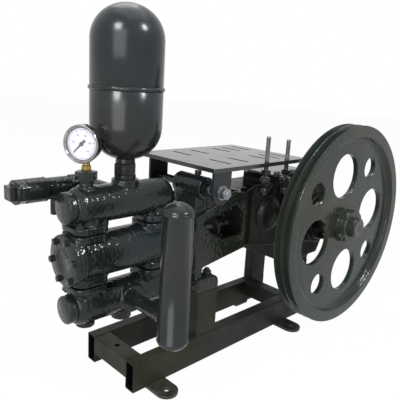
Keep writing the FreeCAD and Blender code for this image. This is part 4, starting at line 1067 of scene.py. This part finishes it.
class PUMP_OT_motor_plate(bpy.types.Operator):
    """Dress the motor plate, its legs, pivot bolt and tension studs"""

    bl_idname = "pump.motor_plate"
    bl_label = "Motor plate"

    def execute(self, context):
        dressed("motor_plate", PLATE, 0.0006)
        for side in ("near", "far"):
            dressed(f"plate_leg_{side}", ("tank_enamel", "plate_enamel"), 0.0006)
        self.pivot_bolt()
        self.tension_studs()
        ends = ((LEG_NEAR_Y + 7.5, 2), (LEG_FAR_Y - 6.8, 5))
        beads = [weld((PIN_X - 21, y, PLATE_UNDER), (PIN_X + 21, y, PLATE_UNDER), 2.2, seed)
                 for y, seed in ends]
        piece("plate_leg_welds", beads, ("skid_enamel", "plate_enamel"), sharp=70)
        return {"FINISHED"}

    def pivot_bolt(self):
        """The long bolt through both legs and the cradle's hub."""
        collars = [washer(0.0155, 0.005, on_pin(HUB_NEAR_Y), -Y_AXIS),
                   washer(0.0155, 0.005, on_pin(HUB_FAR_Y), Y_AXIS)]
        piece("pivot_collars", collars, CASE)
        shank = spun([(0, 0), (8, 0), (8, 189), (0, 189)], on_pin(LEG_NEAR_Y - 4), Y_AXIS, 36)
        spring = spun([(8.2, 0), (11.6, 0), (11.6, 2.6), (8.2, 2.6)], on_pin(LEG_NEAR_Y - 2.2), -Y_AXIS, 36,
                      closed=True)
        piece("pivot_bolt_shank", shank, IRON, ("pivot_bolt",))
        parts = [spring, hexagon(0.018, 0.008, on_pin(HUB_NEAR_Y - 5), -Y_AXIS, 0.1),
                 stud_tip(0.0066, 0.0045, on_pin(LEG_NEAR_Y - 12.4), -Y_AXIS),
                 washer(0.0135, 0.0022, on_pin(LEG_NEAR_Y), -Y_AXIS),
                 washer(0.0135, 0.0022, on_pin(LEG_FAR_Y), Y_AXIS),
                 hexagon(0.020, 0.009, on_pin(LEG_NEAR_Y - 4.7), -Y_AXIS, 0.25),
                 hexagon(0.022, 0.009, on_pin(LEG_FAR_Y + 2.2), Y_AXIS, 0.4)]
        piece("pivot_bolt_nuts", parts, ZINC)

    def tension_studs(self):
        """Two threaded studs with lock nuts on their ears and a nut under the plate."""
        pitch = sizes().thread_pitch
        rods, nuts = [], []
        for x, top, ear in zip(STUD_XS, STUD_TOPS, EAR_TOPS):
            foot = ear - EAR_THICKNESS - 14
            rods.append(threaded(0.005, (top - foot) * MM, place(x, STUD_Y, foot), Z_AXIS, pitch))
            for base, turn in ((ear - EAR_THICKNESS - 9, 0.1), (ear, 0.5), (ear + 15, 0.9)):
                nuts.append(hexagon(0.019, 0.009, place(x, STUD_Y, base), Z_AXIS, turn + x))
        piece("tension_stud_rods", rods, ZINC, ("tension_studs",), sharp=25)
        piece("tension_stud_nuts", nuts, ("tank_enamel", "dark_enamel"))


class PUMP_OT_stage(bpy.types.Operator):
    """Lay the floor, hang the lamps and set the camera"""

    bl_idname = "pump.stage"
    bl_label = "Studio"

    def execute(self, context):
        self.floor(context)
        self.lamps(context)
        self.world(context)
        self.camera(context)
        context.scene.view_settings.view_transform = "Standard"
        return {"FINISHED"}

    def floor(self, context):
        """A pale floor that takes shadows, and that the camera and reflections see almost white."""
        bm = bmesh.new()
        bmesh.ops.create_grid(bm, x_segments=4, y_segments=4, size=FLOOR_REACH)
        made = placed("studio_floor", mesh_of("studio_floor", bm))
        tree, shader = node_tree("studio_floor")
        colour = context.scene.pump_colours.floor
        mottled = blend(tree, noise(tree, 3.0, 3.0, 0.5), colour, lighten(colour, 0.985))
        feed(tree, shader, {"Base Color": mottled, "Roughness": 0.9, "Specular IOR Level": 0.1})
        white = add(tree, "ShaderNodeEmission", {"Strength": 1.0})
        mix = add(tree, "ShaderNodeMixShader",
                  {0: self.seen(tree, FLOOR_WHITE), 1: shader.outputs["BSDF"], 2: white.outputs["Emission"]})
        feed(tree, tree.nodes["Material Output"], {"Surface": mix.outputs["Shader"]})
        made.data.materials.append(material_of("studio_floor"))

    def seen(self, tree, share):
        """A share where the camera, a reflection or glass sees the surface, and none elsewhere."""
        rays = tree.nodes.new("ShaderNodeLightPath").outputs
        viewed = math_node(tree, "MAXIMUM", rays["Is Camera Ray"], rays["Is Glossy Ray"])
        viewed = math_node(tree, "MAXIMUM", viewed, rays["Is Transmission Ray"])
        return math_node(tree, "MULTIPLY", viewed, share)

    def world(self, context):
        """White to the camera and to reflections, and dimmer as a light."""
        world = bpy.data.worlds.new("studio")
        world.use_nodes = True
        context.scene.world = world
        tree = world.node_tree
        glow = spread(tree, self.seen(tree, 1.0), 0.0, 1.0, context.scene.pump_studio.ambient, 1.0)
        feed(tree, tree.nodes["Background"], {"Color": (1, 1, 1, 1), "Strength": glow})

    def lamps(self, context):
        """A wide lamp overhead, a strip and a window-like lamp at the left, a spark and a fill."""
        studio = context.scene.pump_studio
        self.lamp("ceiling_lamp", (0.1, 0.0, 2.2), (0.0, 0.0, 0.2), 1.6, 1.6, studio.ceiling)
        self.lamp("strip_lamp", (-2.1, -1.12, 0.9), (-0.22, 0.0, 0.5), 1.5, 1.9, studio.strip)
        self.lamp("key_lamp", (-1.61, -0.54, 1.72), (-0.2, 0.0, 0.5), 0.55, 0.55, studio.key)
        self.lamp("spark_right", (0.35, -1.39, 1.7), (-0.1, 0.0, 0.4), 0.24, 0.36, studio.spark)
        self.lamp("fill_lamp", (0.7, 1.5, 2.9), (0.0, 0.0, 0.3), 1.4, 1.4, studio.fill)

    def lamp(self, name, at, towards, width, height, power):
        """A rectangular lamp of a size and power, aimed at a point."""
        data = bpy.data.lights.new(name, "AREA")
        data.shape = "RECTANGLE"
        data.size = width
        data.size_y = height
        data.energy = power
        made = placed(name, data)
        made.location = at
        made.rotation_euler = (Vector(towards) - Vector(at)).to_track_quat("-Z", "Y").to_euler()

    def camera(self, context):
        """The photograph's own view: place, direction, roll and lens."""
        turn = Matrix.Rotation(CAMERA_AZIMUTH, 4, "Z")
        turn @= Matrix.Rotation(math.pi / 2 - CAMERA_ELEVATION, 4, "X")
        turn @= Matrix.Rotation(CAMERA_ROLL, 4, "Z")
        data = bpy.data.cameras.new("photo_camera")
        data.lens = CAMERA_LENS
        data.sensor_width = 36.0
        data.clip_start = 0.02
        data.clip_end = 50.0
        made = placed("photo_camera", data)
        made.matrix_world = Matrix.Translation(CAMERA_PLACE) @ turn
        context.scene.camera = made


OPERATORS = (PUMP_OT_materials, PUMP_OT_skid, PUMP_OT_castings, PUMP_OT_fluid_end, PUMP_OT_air_vessel,
             PUMP_OT_gauge, PUMP_OT_relief_valve, PUMP_OT_suction, PUMP_OT_rod, PUMP_OT_crank_end,
             PUMP_OT_flywheel, PUMP_OT_motor_plate, PUMP_OT_stage)


class PUMP_PT_panel(bpy.types.Panel):
    """Shows the pump's colours, sizes and studio settings, and a button for each operator, in the sidebar"""

    bl_idname = "PUMP_PT_panel"
    bl_label = "Car Wash Pump"
    bl_space_type = "VIEW_3D"
    bl_region_type = "UI"
    bl_category = "Pump"

    def draw(self, context):
        for group in (context.scene.pump_colours, context.scene.pump_sizes, context.scene.pump_studio):
            column = self.layout.column(align=True)
            for name in group.__annotations__:
                column.prop(group, name)
        for operator in OPERATORS:
            self.layout.operator(operator.bl_idname)


CLASSES = (PumpColours, PumpSizes, PumpStudio, *OPERATORS, PUMP_PT_panel)


def register():
    for cls in CLASSES:
        bpy.utils.register_class(cls)
    bpy.types.Scene.pump_colours = PointerProperty(type=PumpColours)
    bpy.types.Scene.pump_sizes = PointerProperty(type=PumpSizes)
    bpy.types.Scene.pump_studio = PointerProperty(type=PumpStudio)


def unregister():
    for name in ("pump_studio", "pump_sizes", "pump_colours"):
        delattr(bpy.types.Scene, name)
    for cls in reversed(CLASSES):
        bpy.utils.unregister_class(cls)


def main():
    register()
    for operator in OPERATORS:
        group, name = operator.bl_idname.split(".")
        getattr(getattr(bpy.ops, group), name)()


if __name__ == "__main__":
    main()
